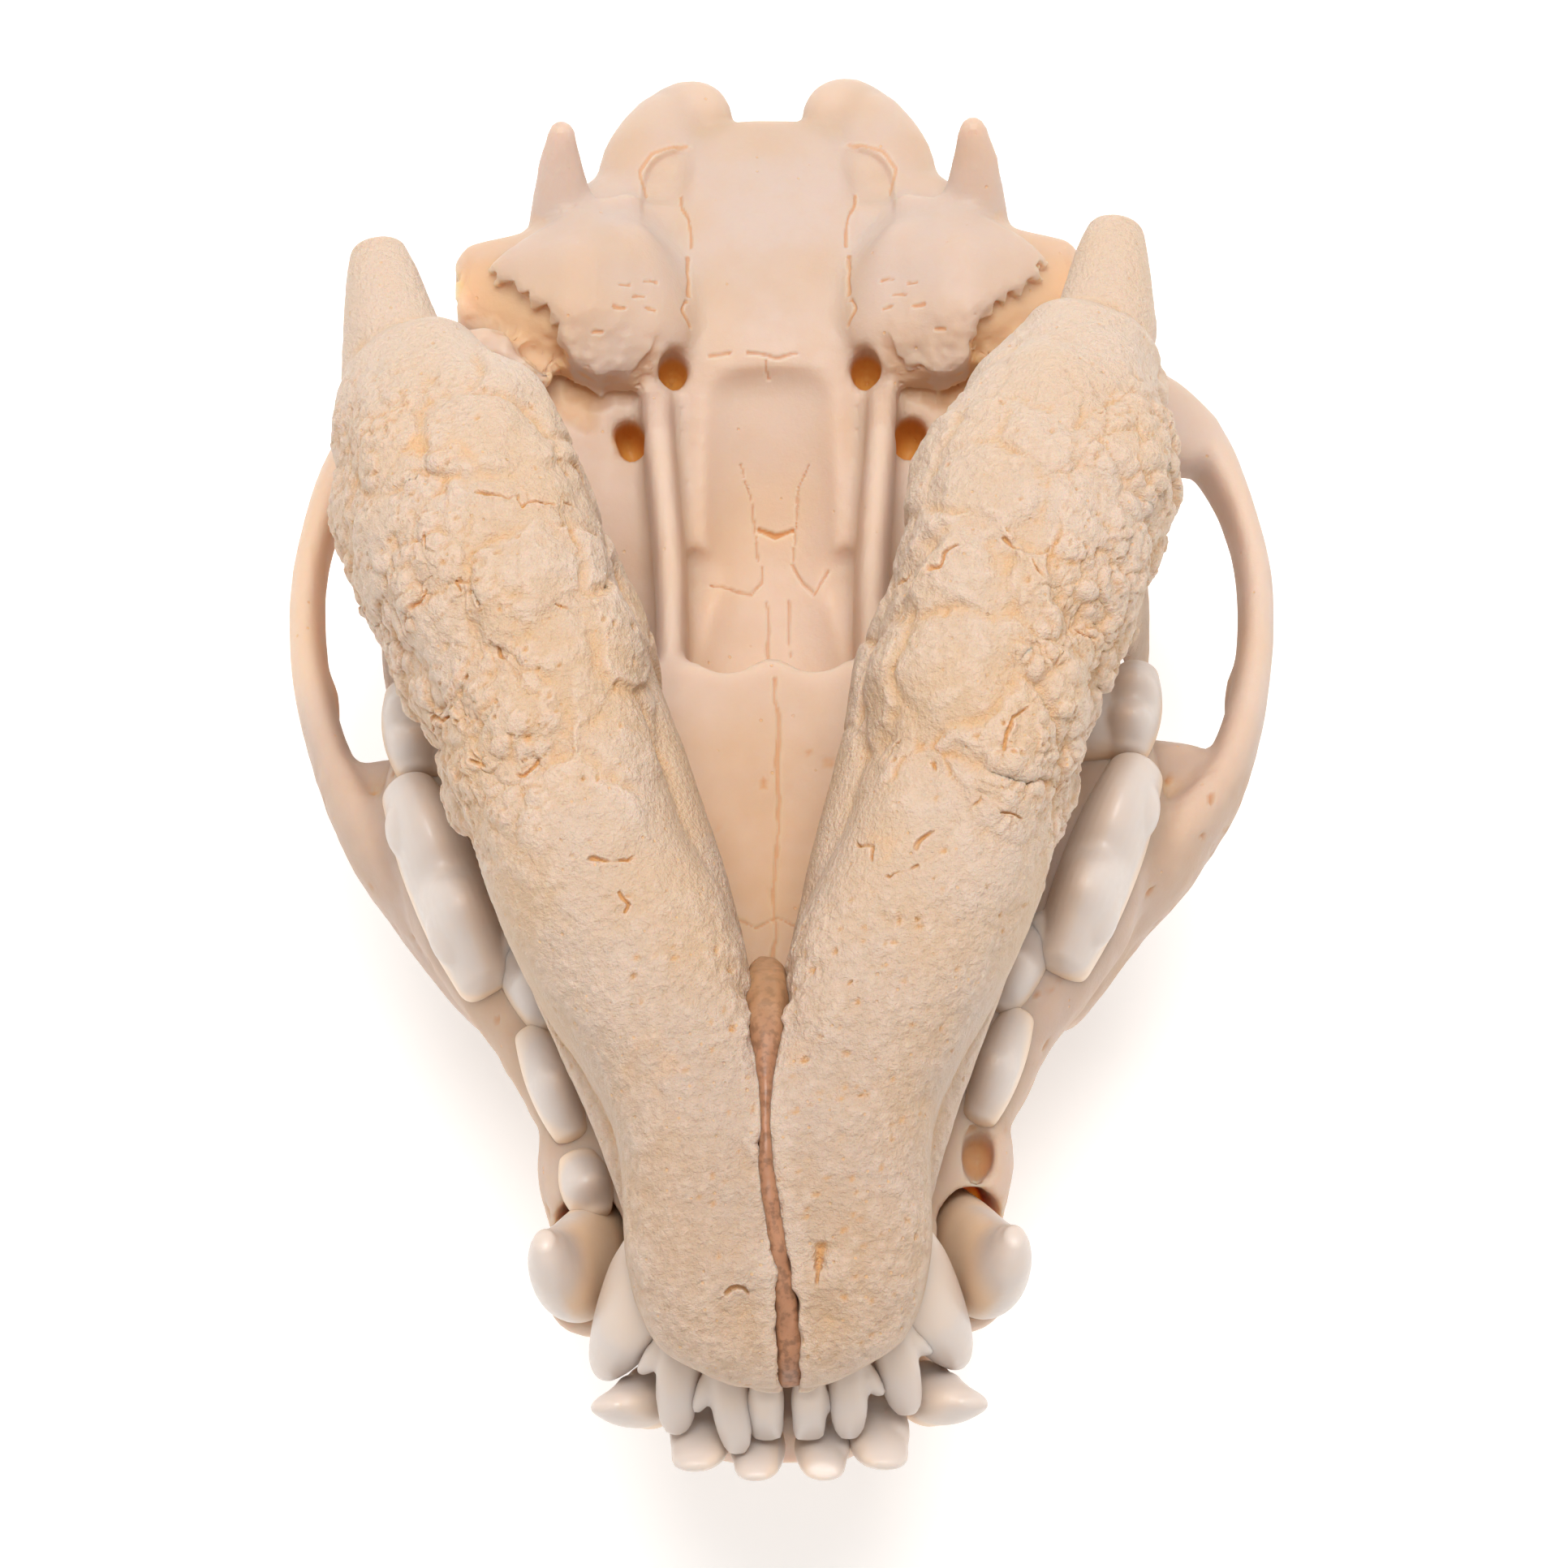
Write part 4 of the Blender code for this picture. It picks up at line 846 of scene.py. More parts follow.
def dress_cranium(bone, sizes):
    """Fine relief and the numbers for the cranium's colours."""
    wide = [(half + 0.7, marks) for half, marks in PALATE_LINES + THROAT_LINES + THROAT_MARKS]
    points, normals = skull_points(bone), normals_of(bone)
    x, y, z = points.T
    near_ear = (abs(x) > 6) & (abs(x) < 28) & (y > 94) & (y < 125) & (z > -12) & (normals[:, 2] > 0)
    refine(bone, (line_share(points, wide) > 0) & (normals[:, 2] > 0.2) & (z > -18) | near_ear)
    points, normals = skull_points(bone), normals_of(bone)
    x, y, z = points.T
    below = smoothstep(0.15, 0.5, normals[:, 2])
    above = smoothstep(0.15, 0.5, -normals[:, 2])
    depth = sizes.suture_depth / MM
    lines = line_share(points, PALATE_LINES, 0.25) * (z > -4) * below
    lines = np.maximum(lines, line_share(points, THROAT_LINES, 0.2) * (z < -4) * below)
    marks = line_share(points, THROAT_MARKS, 0.1) * (z < -8) * below
    ear = line_share(np.abs(points), CAPSULE_LINES, 0.3) * (z > -9) * below
    plate_top = 0.4 - bulla_drop(x, y)
    on_ear = smoothstep(8, 11, abs(x)) * smoothstep(96, 99, y) * smoothstep(119, 116, y) * below
    step = on_ear * smoothstep(16, 19, abs(x)) * smoothstep(0.4, 0.9, plate_top - z) * (z > -7)
    ragged = on_ear * smoothstep(106, 100, y) * (z > -8)
    outside = np.where(x > 0, edge_distance(points, bulla_outline(1)), edge_distance(points, bulla_outline(-1)))
    outside += hills(points, 1.0, 17) * 0.28 + hills(points, 0.6, 18) * 0.12
    by_plate = (z > -11) * (y > 92) * smoothstep(113, 110, y)
    shelf = smoothstep(0, 0.25, outside) * smoothstep(4.2, 2.4, outside) * smoothstep(15, 17, abs(x)) * by_plate
    front_rim = smoothstep(-0.1, 0.2, outside) * smoothstep(1.7, 0.5, outside) * smoothstep(9, 11, abs(x))
    front_rim *= smoothstep(103, 100.5, y) * by_plate
    socket_edge = line_share(np.abs(points), SOCKET_LINES, 0.15) * (z > -15) * (z < -4)
    lines = np.maximum(lines, line_share(points, CROWN_LINES, 0.8) * (z < -16) * above * 0.7)
    arch = np.hypot((abs(x) - 7.4) / 4.4, np.maximum(y - 119.5, 0) / 4.4)
    recess = smoothstep(1.0, 0.86, arch) * smoothstep(6.4, 8.6, abs(x)) * smoothstep(113, 121, y)
    recess *= below * (z > -14)
    face = smoothstep(10, 20, y) * (1 - smoothstep(60, 70, y)) * smoothstep(-34, -20, z)
    relief = hills(points, 7, 3) * 0.12 + hills(points, 2.4, 5) * 0.05
    relief += face * (hills(points, 3.4, 8) * 0.16 + hills(points, 1.5, 9) * 0.08)
    near, _, tone = knobs(warped(points, 2, 0.3, 40), 2.2, 30)
    pits = (1 - smoothstep(0.10, 0.24, near)) * (tone > 0.62) * face
    relief += ragged * (hills(points, 1.5, 15) * 0.2 + hills(points, 0.8, 16) * 0.12)
    flat = z < -PALATE_HEIGHT + 0.6
    cuts = lines * depth + marks * 0.4 + ear * 0.2 + pits * 0.3 + recess * 0.55 + socket_edge * 0.12
    push = (relief - cuts - (shelf * 0.7 + front_rim * 0.5) * below) * ~flat
    place_points(bone, points + normals * push[:, None])
    shade_smooth(bone)
    sunk = sunkenness(bone, 24)
    throat = smoothstep(20, 15, abs(x)) * smoothstep(66, 72, y) * smoothstep(106, 99, y) * (z > -20)
    # Painted shade: a warm tint in concave spots, from how far each point lies below its smoothed surroundings, less
    # in the throat and more on the ear capsules.
    hollow = smoothstep(0.05, 0.9, sunk) * 0.9 * (1 - 0.75 * throat)
    keep_number(bone, "hollow", np.maximum(hollow, on_ear * smoothstep(0.1, 0.5, sunk) * 0.6))
    # Painted highlight: paler colour on raised spots.
    keep_number(bone, "ridge", smoothstep(0.05, 0.5, -sunk))
    # Painted shade in the nerve holes, the pits, along the condyle recess's edge and under the capsule plate's front
    # edge, together with the dark colour of the sutures, marks and pore rows.
    tints = [lines * 0.4, marks * 0.8, ear * 0.5, pits * 0.5, socket_edge * 0.38, front_rim * 0.3, hole_shade(points)]
    keep_number(bone, "crack", np.maximum.reduce(tints))
    front_palate = smoothstep(17, 11, abs(x)) * smoothstep(74, 50, y) * smoothstep(10, 25, y) * (z > -6)
    cheek = smoothstep(14, 20, abs(x)) * smoothstep(8, 20, y) * smoothstep(72, 60, y) * smoothstep(4, 0, z)
    crests = smoothstep(7, 9, abs(x)) * smoothstep(22, 16, abs(x)) * smoothstep(64, 70, y) * smoothstep(104, 96, y)
    # Painted shade: the lower step beside the capsule plate, under its outer edge, in the condyle recess, on the front
    # palate and beside the upper tooth rows.
    painted_shades = [step * 0.5, shelf * 0.95, recess * 0.3, front_palate * 0.8, cheek * 0.25]
    keep_number(bone, "stain_and_shade", np.maximum.reduce(painted_shades))
    # Painted shade: darker on the front palate, beside the upper tooth rows and on the throat's crests.
    keep_number(bone, "dim", np.maximum.reduce([front_palate * 0.6, cheek * 0.8, crests * 0.4]))
    # Painted glow: light through the thin palate between the jaws and deep in the throat, and painted light on the
    # left cheek bar only.
    between_jaws = smoothstep(24, 13, abs(x)) * smoothstep(16, 40, y) * smoothstep(112, 84, y)
    between_jaws *= np.interp(y, (45, 68, 80), (0.05, 0.15, 0.25))
    deep = smoothstep(-1, -8, z) * smoothstep(30, 18, abs(x)) * smoothstep(4, 20, y) * smoothstep(110, 100, y)
    deep *= np.interp(y, (60, 80), (0.6, 0.2))
    glow = np.maximum(between_jaws * smoothstep(4, 0, z), deep) * smoothstep(-30, -18, z)
    arches = smoothstep(30, 34, abs(x)) * smoothstep(66, 74, y) * smoothstep(108, 100, y)
    keep_number(bone, "glow", np.maximum(glow, arches * (x < 0) * 0.5))


def hole_shade(points):
    """Painted shade for the deep insides of the nerve holes and the empty sockets."""
    share = np.zeros(len(points))
    for side in SIDES:
        for x, y, z, radius in ((12.7, 94.8, -12.0, 2.5), (8.9, 100.8, -10.8, 2.3), (21, 44, -12.5, 2.6)):
            distance = np.linalg.norm((points - (side * x, y, z)) / (1, 1, 1.3), axis=-1)
            share = np.maximum(share, 1 - smoothstep(radius * 0.75, radius * 1.25, distance))
    for x, y, z, radius in ((17.7, 26.4, -4.4, 2.2), (17.3, 24.6, -3.4, 1.8)):
        distance = np.linalg.norm(points - (x, y, z), axis=-1)
        share = np.maximum(share, 0.45 * (1 - smoothstep(radius * 0.7, radius * 1.4, distance)))
    return share


# Ear capsules

def bulla_drop(x, y):
    """How far the capsule's upper face lies below its highest level."""
    across = np.interp(abs(x), (6.6, 9.2, 12.6, 16, 18, 22.6, 26.6), (7.2, 4.8, 2.0, 0.7, 0.5, 1.8, 3.8))
    return np.minimum(across + 3.8 * smoothstep(109, 117, y) + 2.8 * smoothstep(105, 97.5, y), 7.6)


def bulla_outline(side):
    """The outline of the flattened ear capsule, ragged at its outer edge."""
    outline = [(6.8, 104), (6.8, 111.5), (8.6, 114.8), (12.4, 116.0), (16.2, 115.2), (19.8, 113.0), (23, 110.9)]
    ragged = [(25.6, 108.4), (24.4, 107.5), (24.8, 106.8), (23.2, 106.5), (22.9, 105.5), (21.6, 105.6)]
    ragged += [(21.4, 104.5), (20.0, 104.6), (19.9, 103.2), (18.8, 102.6), (19.2, 101.2), (18.2, 100.2)]
    front = [(17.8, 98.4), (16.6, 98.0), (15.4, 97.3), (14.2, 98.1), (12.8, 97.8), (11.4, 98.6), (10.6, 100.8)]
    front += [(8.4, 101.9), (6.8, 102.6)]
    placed = []
    for n, (x, y) in enumerate(outline + ragged + front):
        x, y = x + 0.22 * math.sin(5 * n + side), y + 0.22 * math.cos(7 * n + side)
        placed.append((side * x, y + 0.325 * float(bulla_drop(x, y))))
    return placed


def bulla_pieces(side, home):
    """The flattened ear capsule, with a thin plate over it that is ragged at its outer edge."""
    rows = [
        (9.2, 107.2, -9.4, 5.2, 4.4),
        (12.6, 106.8, -8.0, 8.0, 6.0),
        (18.0, 107.8, -7.6, 7.4, 6.0),
        (22.6, 108.6, -8.6, 5.8, 5.0),
        (26.8, 109.2, -9.0, 4.4, 4.2),
    ]
    loft(f"bulla_body_{side}", mirrored(side, rows), home, power=2.7, count=40)
    plate = slab(f"bulla_plate_{side}", bulla_outline(side), -8.2, 0.4, home)
    soften(plate, 0.4 * MM, 1)
    points = skull_points(plate)
    x, y, z = points.T
    points[:, 2] -= bulla_drop(x, y) * np.clip((z + 8.2) / 8.6, 0, 1.1)
    place_points(plate, points)


# Teeth

def tooth_blade(name, start, end, tall, wide, crown, home, up=1):
    """A cheek tooth as a blade along the jaw. crown lists its edge's height along it, as shares of tall."""
    start, end = Vector(start), Vector(end)
    last = len(crown) - 1
    rows = []
    for k, share in enumerate(crown):
        fullness = 0.30 + 0.20 * math.sin(math.pi * (0.12 + 0.76 * k / last))
        rows.append((*start.lerp(end, k / last), wide * fullness, max(tall * share, 1.0)))
    return loft(name, rows, home, up=(0, 0, up), power=1.85, count=28, steps=5, round_ends=0.5)


def tooth_cone(name, root, neck, tip, long_half, wide_half, home, taper=(1.0, 0.84, 0.6)):
    """A front tooth: a curved cone from its root in the bone through the neck to the tip."""
    root, neck, tip = Vector(root), Vector(neck), Vector(tip)
    middle = neck.lerp(tip, 0.55) + (neck - root).normalized() * (tip - neck).length * 0.06
    rows = [
        (*root, wide_half * 0.7, long_half * 0.7),
        (*neck, wide_half * 0.92, long_half * 0.95),
        (*neck.lerp(middle, 0.45), wide_half * 1.05, long_half * 0.96),
        (*middle, wide_half * taper[0], long_half * 0.76),
        (*neck.lerp(tip, 0.88), wide_half * taper[1], long_half * 0.46),
        (*tip, wide_half * taper[2], long_half * 0.24),
    ]
    return loft(name, rows, home, up=(0, 1, 0), power=2.0, count=24, steps=5, round_ends=0.9)


def finished_tooth(name, pieces, sizes):
    """A smooth tooth from a collection of closed shapes."""
    tooth = fused(name, pieces)
    soften(tooth, sizes.tooth_grain, 5)
    return tooth


def upper_incisors(sizes):
    teeth = []
    shapes = [(2.4, 0.7, 2.9, -3.8, 2.1), (7.0, 1.6, 8.0, -2.9, 2.4), (11.4, 4.2, 15.3, 2.1, 2.6)]
    for side, (n, (x, y, tip_x, tip_y, half)) in itertools.product(SIDES, enumerate(shapes)):
        x, tip_x = side * x + INCISOR_SHIFT, side * tip_x + INCISOR_SHIFT
        pieces = new_collection("incisor")
        root, neck, tip = (x * 0.9, y + 4.5, -6), (x, y, -0.5), (tip_x, tip_y, 5.3 + 0.2 * n)
        tooth_cone("crown", root, neck, tip, half * 0.95, half, pieces)
        lobe, lobe_tip = (x + side * half * 0.7, y + 0.4, 1.2), (x + side * half * 0.85, tip_y + 1.9, 3.4)
        tooth_cone("outer_lobe", (x, y + 2.4, -4), lobe, lobe_tip, half * 0.5, half * 0.5, pieces)
        ball("collar", (x, y + half * 0.45, 0.8), (half * 0.9, half * 0.6, 1.4), pieces)
        tooth = finished_tooth(f"incisor_{n}_{side}", pieces, sizes)
        if side > 0 and n == 0:
            worn = new_collection("worn_tip")
            block("worn_tip", (x - 4, -9, 5.2), (x + 4, 5, 9), worn)
            boolean(tooth, "DIFFERENCE", worn)
            soften(tooth, sizes.tooth_grain, 2)
        teeth.append(tooth)
    return joined("upper_incisors", teeth)


def upper_canine(side, sizes):
    pieces = new_collection("canine")
    loft("canine", canine_rows(side), pieces, up=(0, 1, 0), power=2.0)
    return finished_tooth(f"upper_canine_{SIDE_NAMES[side]}", pieces, sizes)


def upper_cheek_teeth(side, sizes):
    """The premolars and molars of one side. The first right premolar is missing."""
    skew = side * TEETH_SKEW
    low, long = (0.4, 1.0, 0.75, 0.35), (0.35, 0.75, 1.0, 0.7, 0.5, 0.3)
    cutting = (0.5, 0.72, 1.0, 0.9, 0.64, 0.74, 0.76, 0.66, 0.48)
    blades = [
        ("premolar_2", (17.6, 27.8), (21.0, 36.6), 5.6, 4.2, long),
        ("premolar_3", (19.6, 37.6), (23.2, 45.0), 6.0, 4.4, long),
        ("premolar_4", (25.0, 41.4), (31.8, 58.6), 9.4, 6.8, cutting),
    ]
    if side < 0:
        blades.append(("premolar_1", (15.6, 20.9), (17.0, 25.6), 4.2, 4.6, low))
    knobs_at = {
        "premolar_4": [((23.4, 43.6, 0.2), (2.0, 2.4, 2.8)), ((27.2, 46.2, 2.6), (2.9, 4.4, 3.9))]
        + [((30.8, 55.0, 2.0), (3.0, 3.6, 3.4))],
    }
    teeth = []
    for name, (x0, y0), (x1, y1), tall, wide, crown in blades:
        pieces = new_collection(name)
        tooth_blade("crown", (side * x0, y0 + skew, 0), (side * x1, y1 + skew, 0), tall, wide, crown, pieces)
        for (x, y, z), halves in knobs_at.get(name, ()):
            ball("swelling", (side * x, y + skew, z), halves, pieces)
        teeth.append(finished_tooth(name, pieces, sizes))
    molars = (
        [(21.6, 64, -0.8, 2.4, 2.4), (25, 64, -0.6, 3.8, 2.9), (28, 64.2, -0.4, 4.2, 3.1), (31, 64.3, -0.4, 3.9, 3)],
        [(19.6, 70, -1.4, 1.4, 2.0), (22.6, 70.2, -1.4, 1.9, 2.6), (25.0, 70.4, -1.4, 1.9, 2.8)],
    )
    ridges = (
        [((31.2, 60.8), (32.2, 67.9), 5.4, 5.2, (0.55, 1.0, 0.74, 0.95, 0.5))]
        + [((25.4, 61.6), (24.8, 67.0), 3.6, 4.2, (0.5, 1.0, 0.72, 0.85, 0.4))],
        [((25.4, 68.8), (24.6, 71.8), 2.6, 2.6, (0.5, 1.0, 0.7, 0.9, 0.5))]
        + [((21.4, 69.4), (21.0, 71.4), 1.9, 2.2, (0.6, 1.0, 0.6))],
    )
    for n, (rows, blades) in enumerate(zip(molars, ridges), 1):
        pieces = new_collection(f"molar_{n}")
        loft("shelf", [(side * x, y + skew, *rest) for x, y, *rest in rows], pieces)
        for (x0, y0), (x1, y1), tall, wide, crown in blades:
            tooth_blade("cusps", (side * x0, y0 + skew, 0), (side * x1, y1 + skew, 0), tall, wide, crown, pieces)
        teeth.append(finished_tooth(f"molar_{n}", pieces, sizes))
    return joined(f"upper_cheek_teeth_{SIDE_NAMES[side]}", teeth)


def lower_incisors(sizes):
    """The six lower incisors, each with a small lobe on its outer side."""
    teeth = []
    shapes = [
        ((-1.35, 3.2), (-1.4, -0.4), (-2.8, 1.2), 1.45),
        ((-4.5, 4.7), (-3.9, -1.5), (-7.2, 1.6), 1.6),
        ((-8.3, 7.0), (-9.0, 0.4), (-11.7, 5.0), 1.8),
        ((2.2, 3.2), (2.1, -0.5), (3.6, 1.2), 1.45),
        ((5.3, 4.6), (5.5, -0.5), (8.2, 2.5), 1.6),
        ((9.0, 7.1), (10.4, 1.4), (12.3, 5.9), 1.8),
    ]
    for n, ((x, y), (tip_x, tip_y), (lobe_x, lobe_y), half) in enumerate(shapes):
        pieces = new_collection("incisor")
        root, neck, tip = (x * 0.85, y + 4.5, 14.5), (x, y, 10.6), (tip_x, tip_y, 4.9)
        taper = (1.0, 0.96, 0.86) if n % 3 == 0 else (1.0, 0.82, 0.55)
        tooth_cone("crown", root, neck, tip, half, half, pieces, taper)
        side_neck = (x + (lobe_x - x) * 0.5, y + (lobe_y - y) * 0.2, 9.8)
        tooth_cone("lobe", (x, y + 3, 13), side_neck, (lobe_x, lobe_y, 6.9), half * 0.55, half * 0.5, pieces)
        teeth.append(turned(finished_tooth(f"incisor_{n}", pieces, sizes)))
    return joined("lower_incisors", teeth)


def lower_canine(side, sizes):
    pieces = new_collection("canine")
    rows = [
        (8.4, 16.6, 14.0, 2.3, 3.0),
        (10.4, 13.0, 11.4, 2.9, 3.8),
        (11.9, 10.8, 9.2, 2.9, 3.9),
        (13.4, 8.7, 5.6, 2.5, 3.3),
        (14.5, 7.6, 2.4, 1.8, 2.3),
        (15.0, 7.3, 0.0, 1.1, 1.4),
        (15.1, 7.4, -1.2, 0.6, 0.8),
    ]
    loft("canine", mirrored(side, rows), pieces, up=(0, 1, 0), power=2.0)
    return turned(finished_tooth(f"lower_canine_{SIDE_NAMES[side]}", pieces, sizes))


def lower_cheek_teeth(side, sizes):
    blades = [
        (11.2, 19.5, 12.0, 23.0, 3.0, 3.6, (0.5, 1.0, 0.6)),
        (12.6, 25.0, 14.8, 32.0, 4.4, 3.6, (0.4, 1.0, 0.7, 0.4)),
        (15.2, 33.0, 17.6, 40.0, 5.0, 3.8, (0.4, 1.0, 0.75, 0.4)),
        (17.8, 40.8, 19.6, 47.4, 5.4, 4.2, (0.4, 1.0, 0.8, 0.45)),
        (20.2, 48.4, 23.4, 62.6, 8.0, 4.8, (0.4, 0.74, 0.7, 1.0, 0.6, 0.46, 0.36)),
        (23.8, 63.6, 25.4, 69.6, 3.4, 4.6, (0.5, 1.0, 0.8, 0.5)),
    ]
    teeth = []
    for n, (x0, y0, x1, y1, tall, wide, crown) in enumerate(blades):
        pieces = new_collection("cheek_tooth")
        start, end = (side * x0, y0, 9.4), (side * x1, y1, 9.4)
        tooth_blade("crown", start, end, tall, wide, crown, pieces, up=-1)
        teeth.append(turned(finished_tooth(f"cheek_tooth_{n}", pieces, sizes)))
    return joined(f"lower_cheek_teeth_{SIDE_NAMES[side]}", teeth)


def dress_teeth(teeth, gum, way, inner=0.0, base=0.8):
    """Numbers for the colours of teeth: near the gum line, and painted warm shade on the inner faces."""
    points, normals = skull_points(teeth), normals_of(teeth)
    relief = hills(points, 2.6, 91) * 0.02
    place_points(teeth, points + normals * relief[:, None])
    height = (points[:, 2] - gum) * way
    neck = 1 - smoothstep(0.2, 2.6, height + hills(points, 1.6, 93) * 0.5)
    side = np.sign(points[:, 0])
    # Painted warm shade on the faces that look towards the midline.
    inner_face_shade = smoothstep(-0.1, 0.7, -normals[:, 0] * side) * (1 - smoothstep(7, 12, height))
    shade_smooth(teeth)
    sunk = sunkenness(teeth, 12)
    keep_number(teeth, "neck", np.maximum(neck * base, inner_face_shade * inner))
    keep_number(teeth, "hollow", smoothstep(0.02, 0.3, sunk))


# Lower jaw

def condyle_rows(side, play=0.0):
    """The jaw's joint roller. play makes it larger all round, as a tool that cuts its socket."""
    rows = [
        (23.0, 96.9, -4.8, 1.9, 1.9),
        (26.0, 96.9, -5.2, 2.9, 2.8),
        (31.0, 96.3, -5.4, 3.0, 2.9),
        (35.0, 95.6, -5.0, 2.0, 2.0),
    ]
    return [(side * x, y, z, wide + play, tall + play) for x, y, z, wide, tall in rows]


def jaw_neck_rows(side, play=0.0):
    rows = [(30.0, 88, 8.0, 3.2, 4.8), (29.2, 93.0, 0.0, 2.6, 3.8), (28.6, 96.0, -4.0, 3.4, 2.8)]
    return [(side * x, y, z, wide + play, tall + play) for x, y, z, wide, tall in rows]


def turned(obj):
    """The lower jaw sits a little turned in the upper one, and to the right."""
    pivot = world((*JAW_PIVOT, 0))
    shifted = pivot + Vector((JAW_SHIFT, 0, 0)) * MM
    turn = Matrix.Translation(shifted) @ Matrix.Rotation(JAW_TURN, 4, "Z") @ Matrix.Translation(-pivot)
    obj.data.transform(turn)
    return obj


def jaw_pieces(side, home):
    """One half of the lower jaw, thickened below by rough new bone. Its front runs past the midline."""
    body = [
        (0.4, 3.7, 12.4, 3.0, 2.6, 0, 2.4),
        (0.6, 4.8, 13.4, 6.2, 3.8, 0, 2.6),
        (1.0, 7, 14.4, 9.0, 5.0, 0, 2.8),
        (1.8, 10.5, 15.0, 10.0, 6.2, 0, 3.0),
        (3.0, 15, 15.5, 9.9, 7.0, 0, 3.2),
        (4.6, 22, 16.4, 8.5, 7.8, 0, 3.2),
        (6.2, 27, 16.9, 7.9, 8.2, 0, 3.1),
        (8.5, 32, 17.6, 8.0, 8.8, 0, 2.9),
        (10.8, 37, 18.2, 8.7, 9.4, 0, 2.7),
        (14.3, 44, 19.0, 8.7, 10.2, 0, 2.5),
        (16.6, 51, 19.6, 8.7, 11.0, 0, 2.5),
        (18.1, 58, 19.8, 9.3, 11.4, 0, 2.5),
        (20.1, 65, 19.8, 9.8, 11.6, 0, 2.5),
        (22.3, 71, 19.8, 10.7, 11.6, 0, 2.5),
        (24.8, 78, 18.6, 10.8, 11.2, 0, 2.5),
        (27.0, 85, 17.0, 9.2, 9.8, 0, 2.4),
        (29.2, 91, 15.8, 6.6, 7.6, 0, 2.4),
    ]
    loft("jaw_body", mirrored(side, body), home, count=64)
    core = [
        (7.6, 36, 15.0, 6.0, 7.4),
        (9.6, 43, 15.6, 6.6, 8.2),
        (11.8, 50, 15.8, 6.8, 8.6),
        (14.0, 57, 15.8, 7.0, 8.8),
        (16.6, 65, 15.6, 7.4, 8.8),
        (19.6, 73, 15.2, 7.6, 8.6),
    ]
    loft("jaw_core", mirrored(side, core), home, power=2.6, count=48)
    shelf = [
        (8.6, 14, 12.0, 3.0, 3.4),
        (12.0, 26, 12.0, 3.4, 3.6),
        (16.2, 38, 12.0, 4.0, 3.8),
        (20.0, 50, 12.0, 4.2, 3.8),
        (23.6, 62, 12.0, 4.2, 3.8),
        (27.4, 71, 11.0, 3.8, 3.8),
    ]
    loft("tooth_shelf", mirrored(side, shelf), home, power=2.6)
    hook = [
        (29.6, 88.0, 15.2, 5.6, 6.2),
        (31.0, 95.0, 15.8, 4.4, 4.6),
        (31.8, 100.5, 15.8, 3.3, 3.5),
        (32.2, 103.0, 15.6, 2.6, 2.6),
    ]
    loft("angular_process", mirrored(side, hook), home)
    blade = [
        (30.0, 80.0, 12.0, 5.0, 10.5),
        (31.2, 80.6, 2.0, 2.6, 9.6),
        (32.8, 81.2, -9.0, 1.6, 9.2),
        (34.0, 82.4, -20.0, 1.35, 8.4),
        (34.2, 84.4, -28.0, 1.2, 5.6),
        (34.0, 85.8, -31.6, 1.0, 3.4),
    ]
    lean = [min(max(12 - row[2], 0), 25) * CORONOID_LEAN for row in blade]
    blade = [(side * x + off, *rest) for off, (x, *rest) in zip(lean, blade)]
    loft("coronoid_process", blade, home, up=(0, 1, 0), power=2.6)
    loft("jaw_neck", jaw_neck_rows(side), home, up=(0, 1, 0))
    loft("jaw_condyle", condyle_rows(side), home)


def growth_weight(points):
    """How much new bone lies at each point: most on the swelling, none at its ends, near the teeth or inside."""
    x, y, z = points.T
    inner_edge = 5.8 + 0.2 * abs(y - 58)
    return smoothstep(38, 52, y) * smoothstep(97, 88, y) * smoothstep(8, 14, z) * smoothstep(0, 3, abs(x) - inner_edge)


def grow(jaw, sizes):
    """Raises the new bone's broad lumps and its overlapping plates, and keeps its share and their borders."""
    points, normals = skull_points(jaw), normals_of(jaw)
    weight = growth_weight(points)
    height, border = np.zeros(len(points)), np.ones(len(points))
    plate = sizes.plate_size / MM
    for k in np.flatnonzero(weight > 0):
        point = Vector(points[k])
        lump = noise.noise(point / 7.0) * 0.6 + noise.noise(point / 3.4 + Vector((9, 2, 5))) * 0.3
        strayed = point + noise.noise_vector(point / 5.0) * 1.8 + noise.noise_vector(point / 1.7) * 0.35
        reach, centres = noise.voronoi(strayed / plate)
        border[k] = reach[1] - reach[0]
        dome = (0.7 - reach[0] + noise.cell(centres[0] * 7.3) * 0.4) * sizes.plate_height / MM
        height[k] = lump + dome * min(border[k] / 0.12, 1.0) ** 0.7 - 0.3
    place_points(jaw, points + normals * (height * weight)[:, None])
    keep_number(jaw, "growth", weight)
    keep_number(jaw, "border", border)


# Main cracks, ledges, holes and stains of the new bone on each half of the jaw, in x and y

